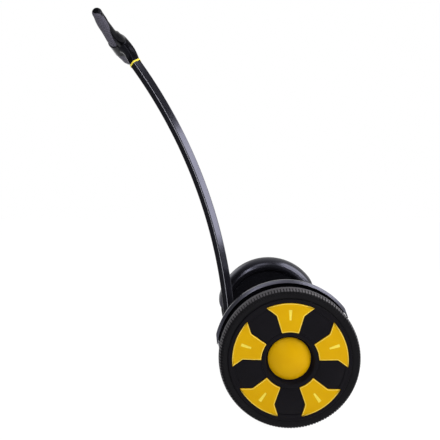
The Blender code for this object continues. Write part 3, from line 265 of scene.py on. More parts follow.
def grained(
    name, low, high, roughness, grain_mm, depth, cloud_mm=60, spread=0.05, specular=0.5,
    tint=linear("FFFFFF"), metallic=0.0,
):
    """A moulded or painted finish: cloudy tone and gloss over a fine surface grain."""
    look, shader = finish(name, Specular_IOR_Level=specular, Specular_Tint=tint, Metallic=metallic)
    place = add_node(look, "ShaderNodeTexCoord").outputs["Object"]
    cloud, grain = (
        add_node(
            look, "ShaderNodeTexNoise",
            {"Vector": place, "Scale": 1000 / size_mm, "Detail": detail, "Roughness": 0.5},
        ).outputs["Fac"]
        for size_mm, detail in ((cloud_mm, 4.0), (grain_mm, 3.0))
    )
    # The mix node has an A and a B for each data type; places 6 and 7 are the colours
    tone = add_node(
        look, "ShaderNodeMix", {"Factor": cloud, 6: linear(low), 7: linear(high)},
        data_type="RGBA",
    )
    gloss = add_node(
        look, "ShaderNodeMapRange",
        {"Value": cloud, "To Min": roughness - spread, "To Max": roughness + spread},
    )
    bump = add_node(look, "ShaderNodeBump", {"Height": grain, "Distance": depth, "Strength": 1.0})
    for source, socket in (
        (tone.outputs[2], "Base Color"), (gloss.outputs["Result"], "Roughness"),
        (bump.outputs["Normal"], "Normal"),
    ):
        look.node_tree.links.new(source, shader.inputs[socket])
    return look


# Glossy black mirrors the lamps slightly blue
COOL_SHEEN = linear("E4E4FF")
# Vulcanised rubber: dull and nearly black, with a greyer bloom where it is handled
TYRE_RUBBER = grained(
    "vulcanised_tyre_rubber", "0C0B0E", "141316", 0.55, 2.5, 0.00025, spread=0.08, specular=0.08
)
# Tread rubber, greyer: partly real scuffing, partly a painted sheen where the blocks catch light
TREAD_SCUFF_AND_SHEEN = grained(
    "tread_rubber_scuff_and_sheen", "302F32", "555256", 0.5, 3.0, 0.0003, cloud_mm=30, spread=0.1,
    specular=0.3,
)
# Calendered rubber sheet: dull black with a fine pebble that breaks up the light
MAT_RUBBER = grained("calendered_rubber_mat", "151516", "1E1E21", 0.74, 1.6, 0.0003, specular=0.3)
# Injection-moulded ABS from a polished tool: deep black, its wide highlights fading at the edges
GLOSS_ABS = grained(
    "polished_black_abs", "0A0A0C", "101014", 0.24, 9.0, 0.00006, spread=0.03, specular=0.65,
    tint=COOL_SHEEN,
)
# The same ABS satin along a fender's lip, with a greyer base: real sheen from the lamp plus painted
# sheen
LIP_SHEEN_ABS = grained(
    "black_abs_lip_painted_sheen", "1E1E22", "26262A", 0.34, 2.0, 0.00004, spread=0.03, specular=1.0,
    tint=COOL_SHEEN,
)
# The same ABS with a softer polish: deeper black, its highlights thin and quiet
SEMI_GLOSS_ABS = grained(
    "semi_gloss_black_abs", "08080A", "0D0D10", 0.18, 7.0, 0.00005, spread=0.03, specular=0.10,
    tint=COOL_SHEEN,
)
# Injection-moulded ABS from a spark-eroded tool: fine even grain that spreads the highlight
TEXTURED_ABS = grained(
    "spark_grained_black_abs", "0C0B0F", "121015", 0.46, 1.2, 0.00018, specular=0.06
)
# Enamelled tube: deep black satin paint over aluminium, so that its front faces stay dark
POST_ENAMEL = grained(
    "satin_post_enamel", "0A0A0D", "0F0F13", 0.2, 6.0, 0.00003, spread=0.03, specular=0.1,
    tint=COOL_SHEEN,
)
# The same enamel lacquered and polished: the rear faces mirror a lamp as one pale band
LACQUERED_ENAMEL = grained(
    "lacquered_post_enamel", "0C0C10", "121216", 0.16, 6.0, 0.00002, spread=0.03, specular=0.7,
    tint=COOL_SHEEN,
)
# The same enamel painted pale on the crest's front faces: a painted highlight
CREST_HIGHLIGHT_ENAMEL = grained(
    "crest_enamel_painted_highlight", "85858F", "94949E", 0.25, 6.0, 0.00002, spread=0.03, specular=0.6
)
# Injection-moulded ABS in warm yellow: satin, evenly coloured, with soft broad highlights
YELLOW_ABS = grained(
    "satin_yellow_abs", "C29202", "CEA204", 0.42, 1.4, 0.00006, spread=0.04, specular=0.05
)
# The yellow ABS painted paler in a band round each panel's top: a painted edge highlight
EDGE_HIGHLIGHT_YELLOW = grained(
    "yellow_abs_edge_painted_highlight", "DDC04A", "E6CC58", 0.3, 1.4, 0.00004, specular=0.2
)
# Floors of the bars sunk in the panels: glossier yellow, painted paler as the slit's highlight
SLIT_HIGHLIGHT_YELLOW = grained("yellow_slit_painted_highlight", "DCC62C", "E8D444", 0.20, 5.0, 0.00004, spread=0.02)
# Thin moulded collar of translucent yellow ABS: paler than the panels where it is lit
PALE_ABS = grained(
    "pale_yellow_abs", "E6D33C", "EEDD50", 0.34, 1.4, 0.00005, spread=0.03, specular=0.2
)
# Thermoplastic elastomer grip: mid grey, dry and dull with a fine stipple
GRIP_RUBBER = grained("grey_elastomer_grip", "3F3D48", "4A4854", 0.66, 1.5, 0.00008, specular=0.3)
# Pressure die-cast aluminium: grey skin with faint flow clouds
CAST_ALLOY = grained(
    "die_cast_aluminium", "85878B", "96989C", 0.42, 2.2, 0.0002, spread=0.08, metallic=1.0
)
# Turned and ground steel: brighter, with fine lines from the tool
GROUND_STEEL = grained(
    "ground_steel", "A9ABAF", "BDBFC3", 0.27, 1.2, 0.00006, spread=0.06, metallic=1.0
)
# Sintered bronze: warm brown metal with open pores
SINTERED_BRONZE = grained(
    "sintered_bronze", "8F6430", "B27F42", 0.44, 1.0, 0.0002, spread=0.08, metallic=1.0
)
# Varnished copper windings over steel sheets: reddish brown with a satin skin
MOTOR_CORE = grained("varnished_motor_core", "7A3F22", "97522E", 0.42, 2.0, 0.0003, metallic=0.6)
# Shrink film on the cells: blue, smooth and slightly puckered
SHRINK_FILM = grained("blue_shrink_film", "1B4683", "23559A", 0.38, 14.0, 0.0005)
# Solder mask on glass-epoxy board: green and semi-gloss
SOLDER_MASK = grained("green_solder_mask", "174A2B", "1F5E38", 0.36, 3.0, 0.0001)

LOOKS = {
    "tyre": TYRE_RUBBER, "mat_rubber": MAT_RUBBER, "gloss_black": GLOSS_ABS,
    "matt_black": TEXTURED_ABS, "black_paint": POST_ENAMEL, "yellow": YELLOW_ABS,
    "grey_rubber": GRIP_RUBBER, "alloy": CAST_ALLOY, "steel": GROUND_STEEL,
    "bronze": SINTERED_BRONZE, "motor_core": MOTOR_CORE, "battery_wrap": SHRINK_FILM,
    "circuit_board": SOLDER_MASK,
}
for entry in frame["record"]["subparts"]:
    node = frame["nodes"][entry["node"]]
    node.data.materials.clear()
    node.data.materials.append(LOOKS[entry["material_slot"]])


# Wheels
TREAD_PITCHES, STEPS_PER_PITCH = 144, 3
TYRE_HALF = [
    (0.15333, 0.0146), (0.1600, 0.0153), (0.1618, 0.0163), (0.1640, 0.0163), (0.1658, 0.0168),
    (0.1715, 0.0184), (0.1745, 0.0196), (0.1762, 0.0209), (0.1800, 0.0222), (0.1850, 0.0232),
    (0.1893, 0.0235), (0.1930, 0.0227), (0.1965, 0.0206), (0.1992, 0.0176), (0.2011, 0.0136),
    (0.2018, 0.0096), (0.2001, 0.0090), (0.2001, 0.0070), (0.2021, 0.0064), (0.2023, 0.0020),
]
TYRE_INSIDE = [(0.1930, 0.0141), (0.15333, 0.0094)]
# Where the shoulder blocks lie: from and to this radius, outboard of the crown
BLOCKS_FROM, BLOCKS_TO, CROWN_HALF, SIDEWALL = 0.1898, 0.2020, 0.0110, 0.0205
CUT_MARGIN, CUT_DEPTH, TREAD_START = 0.0004, 0.0017, 0.1965


def make_tyre(side):
    """Road tyre: ringed sidewalls, shoulder blocks parted by cross cuts, two grooves round."""
    outside = TYRE_HALF + [(r, -z) for r, z in reversed(TYRE_HALF)]
    inside = [(r, -z) for r, z in reversed(TYRE_INSIDE)] + TYRE_INSIDE
    steps = TREAD_PITCHES * STEPS_PER_PITCH
    shape = turned(outside + inside, steps, closed=True)
    cuts = []
    for face in shape.faces:
        at = face.calc_center_median()
        radius = hypot(at.x, at.y)
        step = int((at.xy.angle_signed(Vector((1, 0))) + pi) / (2 * pi) * steps)
        outward = face.normal.xy.dot(at.xy) > 0 or abs(at.z) > SIDEWALL
        on_blocks = BLOCKS_FROM < radius < BLOCKS_TO and abs(at.z) > CROWN_HALF
        if on_blocks and outward and step % STEPS_PER_PITCH == 0:
            cuts.append(face)
        # Tread faces, not the cuts, take the greyer rubber: partly scuffing, partly painted sheen
        elif radius > TREAD_START:
            face.material_index = 1
    bmesh.ops.inset_region(
        shape, faces=cuts, thickness=CUT_MARGIN, depth=-CUT_DEPTH, use_even_offset=True,
        use_boundary=True,
    )
    wheel_piece(side, "road_tyre", shape, (TYRE_RUBBER, TREAD_SCUFF_AND_SHEEN), "tyre")


COVER_EDGE, COVER_FACE, COVER_BACK, COVER_WALL = 0.17449, 0.0235, 0.0205, 0.003
POCKET_FLOOR, WELL_FLOOR, WELL_RADIUS, WELL_FLARE = 0.0220, 0.0080, 0.0645, 0.0700
INSERTS = 5
INSERT_OUTER, INSERT_NOTCH, INSERT_ROOT = 0.16349, 0.13349, 0.0815
EAR_ANGLE, LEG_ANGLE = radians(24.3), radians(16.8)
# Gap that shows round a panel, and where the fields between them end and the rim's lips start
SHOW_GAP, FIELD_OUTER, LIP_INNER = 0.0008, 0.1550, 0.1564
PANEL_RISE, PANEL_CORNER, PANEL_ROUND, RIM_BAND = 0.0015, 0.0022, 0.0009, 0.0016
# The bar sunk in each panel's leg, its floor painted paler as a highlight
SLIT_MIDDLE, SLIT_HALF, SLIT_WIDTH, SLIT_TAPER, SLIT_DEPTH = 0.130, 0.0150, 0.0040, 0.07, 0.0007


def polar(radius, angle):
    return (radius * cos(angle), radius * sin(angle))


def arc(radius, start, end, count):
    return [polar(radius, start + (end - start) * i / count) for i in range(count + 1)]


def between_panels(radius):
    """Half the field's angle at this radius, where the ears of both neighbours reach in."""
    ear_edge, leg_edge = pi / INSERTS - EAR_ANGLE, pi / INSERTS - LEG_ANGLE
    share = (INSERT_OUTER - radius) / (INSERT_OUTER - INSERT_NOTCH)
    return ear_edge + (leg_edge - ear_edge) * share - SHOW_GAP / FIELD_OUTER


def make_cover(side):
    """Dish with a pocket ring for the panels; black fields and lips fill it between them."""
    root, ring = INSERT_ROOT - SHOW_GAP, INSERT_OUTER + SHOW_GAP
    profile = [
        (0, WELL_FLOOR), (WELL_RADIUS, WELL_FLOOR), (WELL_FLARE, COVER_FACE),
        (root, COVER_FACE), (root, POCKET_FLOOR), (ring, POCKET_FLOOR), (ring, COVER_FACE),
        (COVER_EDGE - 0.0012, COVER_FACE), (COVER_EDGE, COVER_FACE - 0.0012),
        (COVER_EDGE, COVER_BACK), (WELL_FLARE + COVER_WALL, COVER_BACK),
        (WELL_RADIUS + COVER_WALL, WELL_FLOOR - COVER_WALL), (0, WELL_FLOOR - COVER_WALL),
    ]
    shapes = [turned(profile, 160, 0.0004)]
    leg_edge = pi / INSERTS - LEG_ANGLE
    notch_edge, root_edge = (leg_edge - SHOW_GAP / r for r in (INSERT_NOTCH, INSERT_ROOT))
    outer_edge, lip_edge, field_edge = map(between_panels, (INSERT_OUTER, LIP_INNER, FIELD_OUTER))
    field = arc(FIELD_OUTER, -field_edge, field_edge, 12) + [polar(INSERT_NOTCH, notch_edge)]
    field += arc(INSERT_ROOT, root_edge, -root_edge, 10) + [polar(INSERT_NOTCH, -notch_edge)]
    lip = arc(ring + 0.0006, -outer_edge, outer_edge, 8) + arc(LIP_INNER, lip_edge, -lip_edge, 8)
    for number in range(INSERTS):
        turn = about("Z", -pi / 2 + 2 * pi * (number + 0.5) / INSERTS)
        for outline, top, edge in ((field, COVER_FACE - 0.0004, 0.0004), (lip, COVER_FACE, 0.0003)):
            raised = flat_shape(outline, POCKET_FLOOR - 0.0008, top)
            soften(raised, edge)
            shapes.append(move(raised, turn))
    wheel_piece(side, "cover_dish", together(*shapes), TEXTURED_ABS, "wheel_cover")


def make_panel(side, number):
    """Yellow panel on the X axis: soft rim, a band and a sunk bar's floor painted paler as
    highlights.
    """
    outline = arc(INSERT_OUTER, -EAR_ANGLE, EAR_ANGLE, 16) + [polar(INSERT_NOTCH, LEG_ANGLE)]
    outline += arc(INSERT_ROOT, LEG_ANGLE, -LEG_ANGLE, 10) + [polar(INSERT_NOTCH, -LEG_ANGLE)]
    top = COVER_FACE + PANEL_RISE
    shape = flat_shape(outline, POCKET_FLOOR + GAP, top)
    corners = [e for e in upright_edges(shape, 0.001) if e.calc_face_angle(0) > radians(25)]
    soften(shape, PANEL_CORNER, segments=4, edges=corners)
    rim = [e for e in shape.edges if all(v.co.z > top - 0.00001 for v in e.verts)]
    soften(shape, PANEL_ROUND, segments=3, edges=rim)
    top_face = max(shape.faces, key=lambda f: f.calc_area() if f.normal.z > 0.9 else 0)
    band = bmesh.ops.inset_region(shape, faces=[top_face], thickness=RIM_BAND, depth=0.0)
    # The band round the panel's top is painted paler: a painted highlight along its edge
    for face in band["faces"]:
        face.material_index = 2
    cut = [top_face, *top_face.edges, *top_face.verts]
    for point, normal in (
        ((SLIT_MIDDLE - SLIT_HALF, 0, 0), (1, 0, 0)), ((SLIT_MIDDLE + SLIT_HALF, 0, 0), (1, 0, 0)),
        ((SLIT_MIDDLE, SLIT_WIDTH, 0), (-SLIT_TAPER, 1, 0)),
        ((SLIT_MIDDLE, -SLIT_WIDTH, 0), (SLIT_TAPER, 1, 0)),
    ):
        cut = bmesh.ops.bisect_plane(
            shape, geom=cut, dist=0.0000001, plane_co=point, plane_no=normal
        )["geom"]
    lens = []
    for face in shape.faces:
        at = face.calc_center_median()
        inside = abs(at.x - SLIT_MIDDLE) < SLIT_HALF and abs(at.y) < SLIT_WIDTH
        if inside and face.normal.z > 0.9 and at.z > top - 0.0001:
            lens.append(face)
    bmesh.ops.inset_region(shape, faces=lens, thickness=0.0005, depth=-SLIT_DEPTH)
    # The bar's floor is painted paler: a painted highlight in the slit
    for face in lens:
        face.material_index = 1
    move(shape, about("Z", -pi / 2 + 2 * pi * number / INSERTS))
    wheel_piece(
        side, f"yellow_panel_{number + 1}", shape, (YELLOW_ABS, SLIT_HIGHLIGHT_YELLOW, EDGE_HIGHLIGHT_YELLOW),
        f"cover_insert_{number + 1}",
    )


def make_cap(side):
    """Domed centre cap with a rolled edge."""
    reach, rise, seat, skirt, wall = 0.0613, 0.0182, WELL_FLOOR + GAP, 0.0018, 0.0025
    ball = (reach**2 + rise**2) / (2 * rise)
    centre = seat + skirt + rise - ball
    outer = arc(ball, 0, asin(reach / ball), 20)
    inner = arc(ball - wall, asin((reach - wall) / (ball - wall)), 0, 8)
    profile = [(radius, centre + height) for height, radius in outer]
    profile += [(reach, seat), (reach - wall, seat)]
    profile += [(radius, centre + height) for height, radius in inner]
    shape = turned(profile, 120, 0.0005)
    wheel_piece(side, "hub_dome", shape, YELLOW_ABS, "centre_cap")


def make_rim(side):
    """Cast wheel, ribbed between its barrel and the motor can, and the can's bolted lid."""
    profile = [
        (0.1475, 0.0202), (0.1570, 0.0202), (0.1570, 0.0168), (0.1525, 0.0168),
        (0.1525, -0.0168), (0.1570, -0.0168), (0.1570, -0.0202), (0.1475, -0.0202),
        (0.1475, -0.0040), (0.1120, -0.0040), (0.1120, -0.0300), (0.1060, -0.0300),
        (0.1060, -0.0040), (0.0204, -0.0040), (0.0204, -0.0088), (0.0144, -0.0088),
        (0.0144, 0.0010), (0.1475, 0.0010),
    ]
    shapes = [turned(profile, 120, 0.0006, closed=True)]
    ribs, bolts = 15, 10
    for rib in range(ribs):
        web = box_shape((0.1105, -0.0016, -0.0145), (0.1490, 0.0016, -0.0030))
        soften(web, 0.0005)
        shapes.append(move(web, about("Z", 2 * pi * rib / ribs)))
    wheel_piece(side, "cast_wheel", together(*shapes), CAST_ALLOY, "wheel_hub")
    lid = [
        (0.0144, -0.0245), (0.0204, -0.0245), (0.0204, -0.0303), (0.1120, -0.0303),
        (0.1120, -0.0335), (0.0300, -0.0335), (0.0290, -0.0325), (0.0144, -0.0325),
    ]
    shapes = [turned(lid, 96, 0.0004, closed=True)]
    for bolt in range(bolts):
        head = bmesh.new()
        bmesh.ops.create_cone(
            head, cap_ends=True, segments=6, radius1=0.0036, radius2=0.0036, depth=0.0026,
            matrix=shift(0.1060, 0, -0.0342),
        )
        soften(head, 0.0003)
        shapes.append(move(head, about("Z", 2 * pi * bolt / bolts)))
    wheel_piece(side, "motor_lid", together(*shapes), CAST_ALLOY, "motor_cover")


# Fenders
FENDER_LIP, DISH_PLANE = 0.2268, 0.1863
ROLL_TOP, ROLL_EDGE = 0.1820, 0.1666
FENDER_RADIUS, FENDER_DISH, FENDER_HOLE, FENDER_WALL = 0.2165, 0.1560, 0.0125, 0.003
ROLL_DEPTH, ROLL_STEP, LIP_FLANGE, LIP_DEPTH, BEAD_RISE = 0.0150, 0.0040, 0.0080, 0.0055, 0.0013
APRON_HALF, APRON_DROP, FENDER_END = 0.112, 0.050, radians(15.5)
# Rounded end: angle over the axle's level and distance inside the lip
FENDER_CORNER = [
    (FENDER_END, 0.0140), (radians(18.0), 0.0085), (radians(21.0), 0.0040),
    (radians(25.0), 0.0010), (radians(29.0), -0.0030),
]


def split(shape, point, normal):
    """Parts every face that crosses a plane."""
    bmesh.ops.bisect_plane(
        shape, geom=[*shape.verts, *shape.edges, *shape.faces], dist=0.0000001,
        plane_co=point, plane_no=normal,
    )


def fender_profile():
    """From the turned-in lip over the roll and its bead to the dished wall and the axle hole."""
    edge, apex, shoulder = DISH_PLANE - ROLL_STEP, DISH_PLANE - ROLL_DEPTH, FENDER_LIP - LIP_DEPTH
    # The lip is a straight cone and turns into the roll over a small round
    profile = [
        (FENDER_RADIUS - LIP_FLANGE, FENDER_LIP), (FENDER_RADIUS - 0.0010, shoulder + 0.0006),
        (FENDER_RADIUS - 0.0003, shoulder + 0.0001),
    ]
    profile += [
        (ROLL_TOP + (FENDER_RADIUS - ROLL_TOP) * out, shoulder - (shoulder - apex) * along)
        for along, out in arc(1, pi / 2, 0, 14)
    ]
    profile += [
        (ROLL_TOP - (ROLL_TOP - ROLL_EDGE) * out, edge - (edge - apex) * along)
        for out, along in arc(1, pi / 2, 0, 8)[1:]
    ]
    bead = [(ROLL_EDGE - 0.0012, edge - BEAD_RISE), (ROLL_EDGE - 0.0028, edge + 0.0002)]
    wall = [(0.1600, DISH_PLANE - 0.0008), (FENDER_DISH, DISH_PLANE), (FENDER_HOLE, DISH_PLANE)]
    return profile + bead + wall


def rounded_end(inside):
    """Angle at which the shell ends, at this distance inside its lip."""
    for (low, deep), (high, shallow) in zip(FENDER_CORNER, FENDER_CORNER[1:]):
        if inside >= shallow:
            return low + (high - low) * min(1, (deep - inside) / (deep - shallow))
    return high


def round_ends(shape):
    """Draws the shell's outer corners back along the wheel so that both ends are rounded."""
    reach = radians(45)
    for corner in shape.verts:
        radius = hypot(corner.co.x, corner.co.y)
        inside = FENDER_RADIUS - radius
        angle = atan2(-corner.co.y, abs(corner.co.x))
        if inside < FENDER_CORNER[0][1] and angle < reach:
            end = rounded_end(inside)
            angle = end + (angle - FENDER_END) * (reach - end) / (reach - FENDER_END)
            hand = 1 if corner.co.x > 0 else -1
            corner.co.x = hand * radius * cos(angle)
            corner.co.y = -radius * sin(angle)


def make_fender(side):
    """Rolled shell over the tyre's inner side; its ends are rounded, its apron reaches lower."""
    shape = turned(fender_profile(), 180)
    rise = tan(FENDER_END)
    for x in (APRON_HALF, -APRON_HALF):
        split(shape, (x, 0, 0), (1, 0, 0))
    split(shape, (0, APRON_DROP, 0), (0, 1, 0))
    split(shape, (0, 0, 0), (rise, 1, 0))
    split(shape, (0, 0, 0), (-rise, 1, 0))

    def below(at, way):
        return at.y > (APRON_DROP if abs(at.x) < APRON_HALF else -abs(at.x) * rise)

    open_where(shape, below)
    round_ends(shape)
    clean(shape)
    # The lip takes the satin ABS, whose greyer base is a painted sheen
    for face in shape.faces:
        if face.calc_center_median().z > FENDER_LIP - LIP_DEPTH:
            face.material_index = 1
    shell = piece(
        side + "_fender_shell", shape, fixed_frame(side), (GLOSS_ABS, LIP_SHEEN_ABS), "base",
        [side + "_fender"], smooth=radians(50),
    )
    walled(shell, FENDER_WALL, 0.0010, 3, radians(50))


# Post, neck and handlebar, in the body frame
SECTION = [(1.0, 0.24), (0.93, 0.42), (0.14, 1.0), (0.0, 1.0), (-1.0, 0.42)]
BOW_RADIUS, BOW_HEIGHT = 1.778, 0.300
POST_BASE, POST_TOP = 0.0, 1.020
SOCKET_X = 0.1680
HALF_DEPTH, HALF_WIDTH = 0.0198, 0.0170
RIDGE_ROUND, CORNER_ROUND, CREST_DEPTH = 0.0013, 0.0016, 0.0004
BOW_REACH = sqrt(BOW_RADIUS**2 - (POST_BASE - BOW_HEIGHT) ** 2)
BOW_CENTRE = Vector((SOCKET_X + BOW_REACH, 0, BOW_HEIGHT))


def bow_lean(height):
    return asin((height - BOW_HEIGHT) / BOW_RADIUS)


def section_ring(shape, x, z, lean, half_depth, half_width, roundness, shares=(0,)):
    """The post's faceted section, rounded towards an ellipse, square to its line."""
    corners = SECTION + [(u, -v) for u, v in reversed(SECTION)]
    ring = []
    for (u, v), (next_u, next_v) in zip(corners, corners[1:] + corners[:1]):
        for share in shares:
            fore, across = u + (next_u - u) * share, v + (next_v - v) * share
            swell = 1 + (1 / hypot(fore, across) - 1) * roundness
            fore, across = fore * swell * half_depth, across * swell * half_width
            ring.append(shape.verts.new((x + fore * cos(lean), across, z - fore * sin(lean))))
    for one, other in zip(ring, ring[1:] + ring[:1]):
        shape.edges.new((one, other))
    return ring


def make_post():
    """The section swept round the bow's centre, with its long edges rounded."""
    shape = bmesh.new()
    lean = bow_lean(POST_BASE)
    ring = section_ring(shape, SOCKET_X, POST_BASE, lean, HALF_DEPTH, HALF_WIDTH, 0.0)
    last = bmesh.ops.spin(
        shape, geom=ring + list(shape.edges), cent=BOW_CENTRE, axis=(0, 1, 0), dvec=(0, 0, 0),
        angle=bow_lean(POST_TOP) - lean, steps=72, use_merge=False,
    )["geom_last"]
    shape.faces.new(ring)
    shape.faces.new([v for v in last if isinstance(v, bmesh.types.BMVert)])
    clean(shape)
    for turn, on_ridge, width, segments in (
        (radians(12), True, RIDGE_ROUND, 4), (radians(20), False, CORNER_ROUND, 3),
    ):
        edges = []
        for edge in shape.edges:
            along = all(len(face.verts) == 4 for face in edge.link_faces)
            off_ridge = abs(abs(edge.verts[0].co.y) - HALF_WIDTH)
            there = off_ridge < 0.0001 if on_ridge else off_ridge > 0.001
            if along and there and edge.calc_face_angle(0) > turn:
                edges.append(edge)
        soften(shape, width, segments=segments, edges=edges)
    shape.normal_update()
    # The crest's front faces are painted pale as a highlight; the rear faces take the glossier
    # enamel
    for face in shape.faces:
        crest = abs(face.calc_center_median().y) > HALF_WIDTH - CREST_DEPTH
        if crest and face.normal.x > 0.05:
            face.material_index = 2
        elif face.normal.x < -0.4 and abs(face.normal.y) > 0.2:
            face.material_index = 1
    post = piece(
        "bowed_post", shape, BODY, (POST_ENAMEL, LACQUERED_ENAMEL, CREST_HIGHLIGHT_ENAMEL), "steering_post",
        ["post"],
    )
    evened = post.modifiers.new("Flat faces", "WEIGHTED_NORMAL")
    evened.keep_sharp = True


TOP_LEAN = bow_lean(POST_TOP)
TOP = BOW_CENTRE + BOW_RADIUS * Vector((-cos(TOP_LEAN), 0, sin(TOP_LEAN)))


def make_ring():
    """Yellow collar between the post and the neck."""
    shape = bmesh.new()
    rings = []
    inset, proud, height = 0.00375, 0.0015, 0.0050
    for rise, grow in ((GAP, -inset), (GAP, proud), (GAP + height, proud), (GAP + height, -inset)):
        x, z = TOP.x + rise * sin(TOP_LEAN), TOP.z + rise * cos(TOP_LEAN)
        size = (HALF_DEPTH + grow, HALF_WIDTH + grow)
        rings.append(section_ring(shape, x, z, TOP_LEAN, *size, 0.0, (0, 0.5)))
    bridged(shape, rings + rings[:1], closed_ends=False)
    soften(shape, 0.0009, segments=3, sharper_than=radians(40))
    piece("yellow_collar", shape, BODY, PALE_ABS, "steering_post", ["collar_ring"])


# Rings up the neck: forward and up from the post's top, lean, half depth, half width, roundness
NECK = [
    (0.0022, 0.0051, TOP_LEAN, 0.0198, 0.0170, 0.0),
    (0.0080, 0.0320, radians(25), 0.0213, 0.0185, 0.4),
    (0.0155, 0.0535, radians(30), 0.0218, 0.0240, 0.8),
    (0.0350, 0.0810, radians(38), 0.0265, 0.0340, 1.0),
    (0.0475, 0.1020, radians(21), 0.0220, 0.0310, 1.0),
    (0.0465, 0.1180, radians(18), 0.0125, 0.0190, 1.0),
]
HUB_RADIUS, HUB_HALF = 0.0196, 0.037
BAR_X, BAR_Z = TOP.x + 0.0530, TOP.z + 0.0725
CROWN_X, CROWN_Z, CROWN_LEAN = TOP.x + NECK[-1][0], TOP.z + NECK[-1][1], NECK[-1][2]
BUTTON_PLACE = shift(CROWN_X, 0, CROWN_Z) @ about("Y", CROWN_LEAN)
WELL_BORE, WELL_DROP = 0.0092, 0.0100
# Shoulders behind the bar: distance from the middle, set back, radius
SHOULDERS = [
    (0.000, 0.0210, 0.0220), (0.037, 0.0180, 0.0205), (0.060, 0.0130, 0.0185),
    (0.075, 0.0093, 0.0165), (0.100, 0.0063, 0.0157), (0.124, 0.0028, 0.0156),
]
SHOULDER_TILT = radians(20)


def smooth_between(stations, per_span):
    """More stations on a smooth line through the given ones."""
    made = []
    for i in range(len(stations) - 1):
        four = [stations[max(0, i - 1)], stations[i], stations[i + 1]]
        four.append(stations[min(len(stations) - 1, i + 2)])
        for step in range(per_span):
            t = step / per_span
            made.append(tuple(
                0.5 * (2 * b + (c - a) * t + (2 * a - 5 * b + 4 * c - d) * t**2
                       + (3 * b - a - 3 * c + d) * t**3)
                for a, b, c, d in zip(*four)
            ))
    return made + [stations[-1]]


BAR_BEND, BEND_HALF, BAR_SLOPE, BAR_HALF = 0.056, 0.014, radians(12.2), 0.1785
SLEEVE_HALF, SLEEVE_RADIUS, SLEEVE_ROUND, SLEEVE_BEAD = 0.0725, 0.0165, 0.0012, 0.0030


def bar_rise(across):
    reach = abs(across) - (BAR_BEND - BEND_HALF)
    if reach <= 0:
        return 0.0
    if reach >= 2 * BEND_HALF:
        return tan(BAR_SLOPE) * (reach - BEND_HALF)
    return tan(BAR_SLOPE) * reach**2 / (4 * BEND_HALF)


def bar_stations(ends, radius):
    """Rings square to the bar between two distances across, each with its radius."""
    stations = []
    for y in ends:
        step = 0.0005
        run = Vector((0, 2 * step, bar_rise(y + step) - bar_rise(y - step))).normalized()
        turn = run.to_track_quat("Z", "X").to_matrix().to_4x4()
        stations.append((shift(BAR_X, y, BAR_Z + bar_rise(y)) @ turn, radius(y)))
    return stations


def make_bar():
    """Grey rubber sleeve over the middle of the bar, drawn in a little at each end."""
    def sleeve_radius(y):
        return SLEEVE_RADIUS - max(0.0, SLEEVE_ROUND - (SLEEVE_HALF - abs(y)))

    ends = [SLEEVE_HALF - inside for inside in (0.0, 0.0004, SLEEVE_ROUND, SLEEVE_BEAD)]
    between = [SLEEVE_BEAD + SLEEVE_HALF * i / 24 for i in range(-23, 24)]
    places = ends + [-y for y in ends] + [y for y in between if abs(y) < ends[-1]]
    shape = swept(bar_stations(sorted(places), sleeve_radius), 48)
    piece(
        "rubber_sleeve", shape, BODY, GRIP_RUBBER, "steering_post", ["centre_sleeve"]
    )


def make_shoulders():
    """Two arms that run from the neck along the back of the bar and thin out on the grips."""
    rows = smooth_between([(-y, *sizes) for y, *sizes in reversed(SHOULDERS[1:])] + SHOULDERS, 6)
    back, up = -cos(SHOULDER_TILT), sin(SHOULDER_TILT)
    arms = bmesh.new()
    rings = []
    for y, set_back, radius in rows:
        centre = Vector((BAR_X + set_back * back, y, BAR_Z + bar_rise(y) + set_back * up))
        rings.append(ring_at(arms, Matrix.Translation(centre) @ OUTBOARD, radius, 48))
    bridged(arms, rings)
    return arms


def make_neck():
    """Moulded neck that swells round the bar, with a crowned top, arms and a round hub."""
    shape = bmesh.new()
    rings = []
    for forward, up, lean, half_depth, half_width, roundness in smooth_between(NECK, 6):
        place = (TOP.x + forward, TOP.z + up, lean, half_depth, half_width, roundness)
        rings.append(section_ring(shape, *place, (0, 0.25, 0.5, 0.75)))
    # The well that the button moves in
    for drop in (0, WELL_DROP):
        rings.append(ring_at(shape, BUTTON_PLACE @ shift(0, 0, -drop), WELL_BORE, 32))
    bridged(shape, rings)
    soften(shape, 0.0035, segments=5, sharper_than=radians(50))
    hub = move(rod(HUB_RADIUS, HUB_HALF, 64), shift(BAR_X, 0, BAR_Z) @ OUTBOARD)
    neck = piece(
        "neck_moulding", together(shape, hub, make_shoulders()), BODY, SEMI_GLOSS_ABS,
        "steering_post", ["neck_housing"],
    )
    skin = neck.modifiers.new("One skin", "REMESH")
    skin.mode, skin.voxel_size, skin.use_smooth_shade = "VOXEL", 0.0011, True
    flow = neck.modifiers.new("Flowing joints", "SMOOTH")
    flow.factor, flow.iterations = 0.5, 30


def bar_end(side):
    sign = SIDES[side]
    start = SLEEVE_HALF + GAP
    place = shift(BAR_X, sign * start, BAR_Z + bar_rise(start))
    return BODY @ place @ about("X", -sign * (pi / 2 - BAR_SLOPE))


GRIP_RADIUS, GRIP_BORE, CAP_LENGTH, CAP_ROUND = 0.0155, 0.0115, 0.016, 0.009
PLUG_RADIUS, PLUG_LENGTH = 0.0075, 0.015
GRIP_SWELL = [
    (0.0, 1.065), (0.26, 1.07), (0.45, 1.13), (0.62, 1.18), (0.76, 1.15), (0.89, 1.07), (1.0, 1.0),
]
# Ways that the black back of the grip and the grey front of its cap face, in the world
GRIP_BACK = Vector((-0.87, 0.0, 0.49))
CAP_FRONT = Vector((0.35, 0.0, -0.94))
BACK_REACH, CAP_SPLIT = cos(radians(40)), 0.12


def paint_back(shape, place, way, least):
    """Gives the second finish to the faces that face this way, seen along the bar."""
    turn = place.to_3x3()
    for face in shape.faces:
        facing = turn @ face.normal
        if facing.dot(way) > least:
            face.material_index = 1


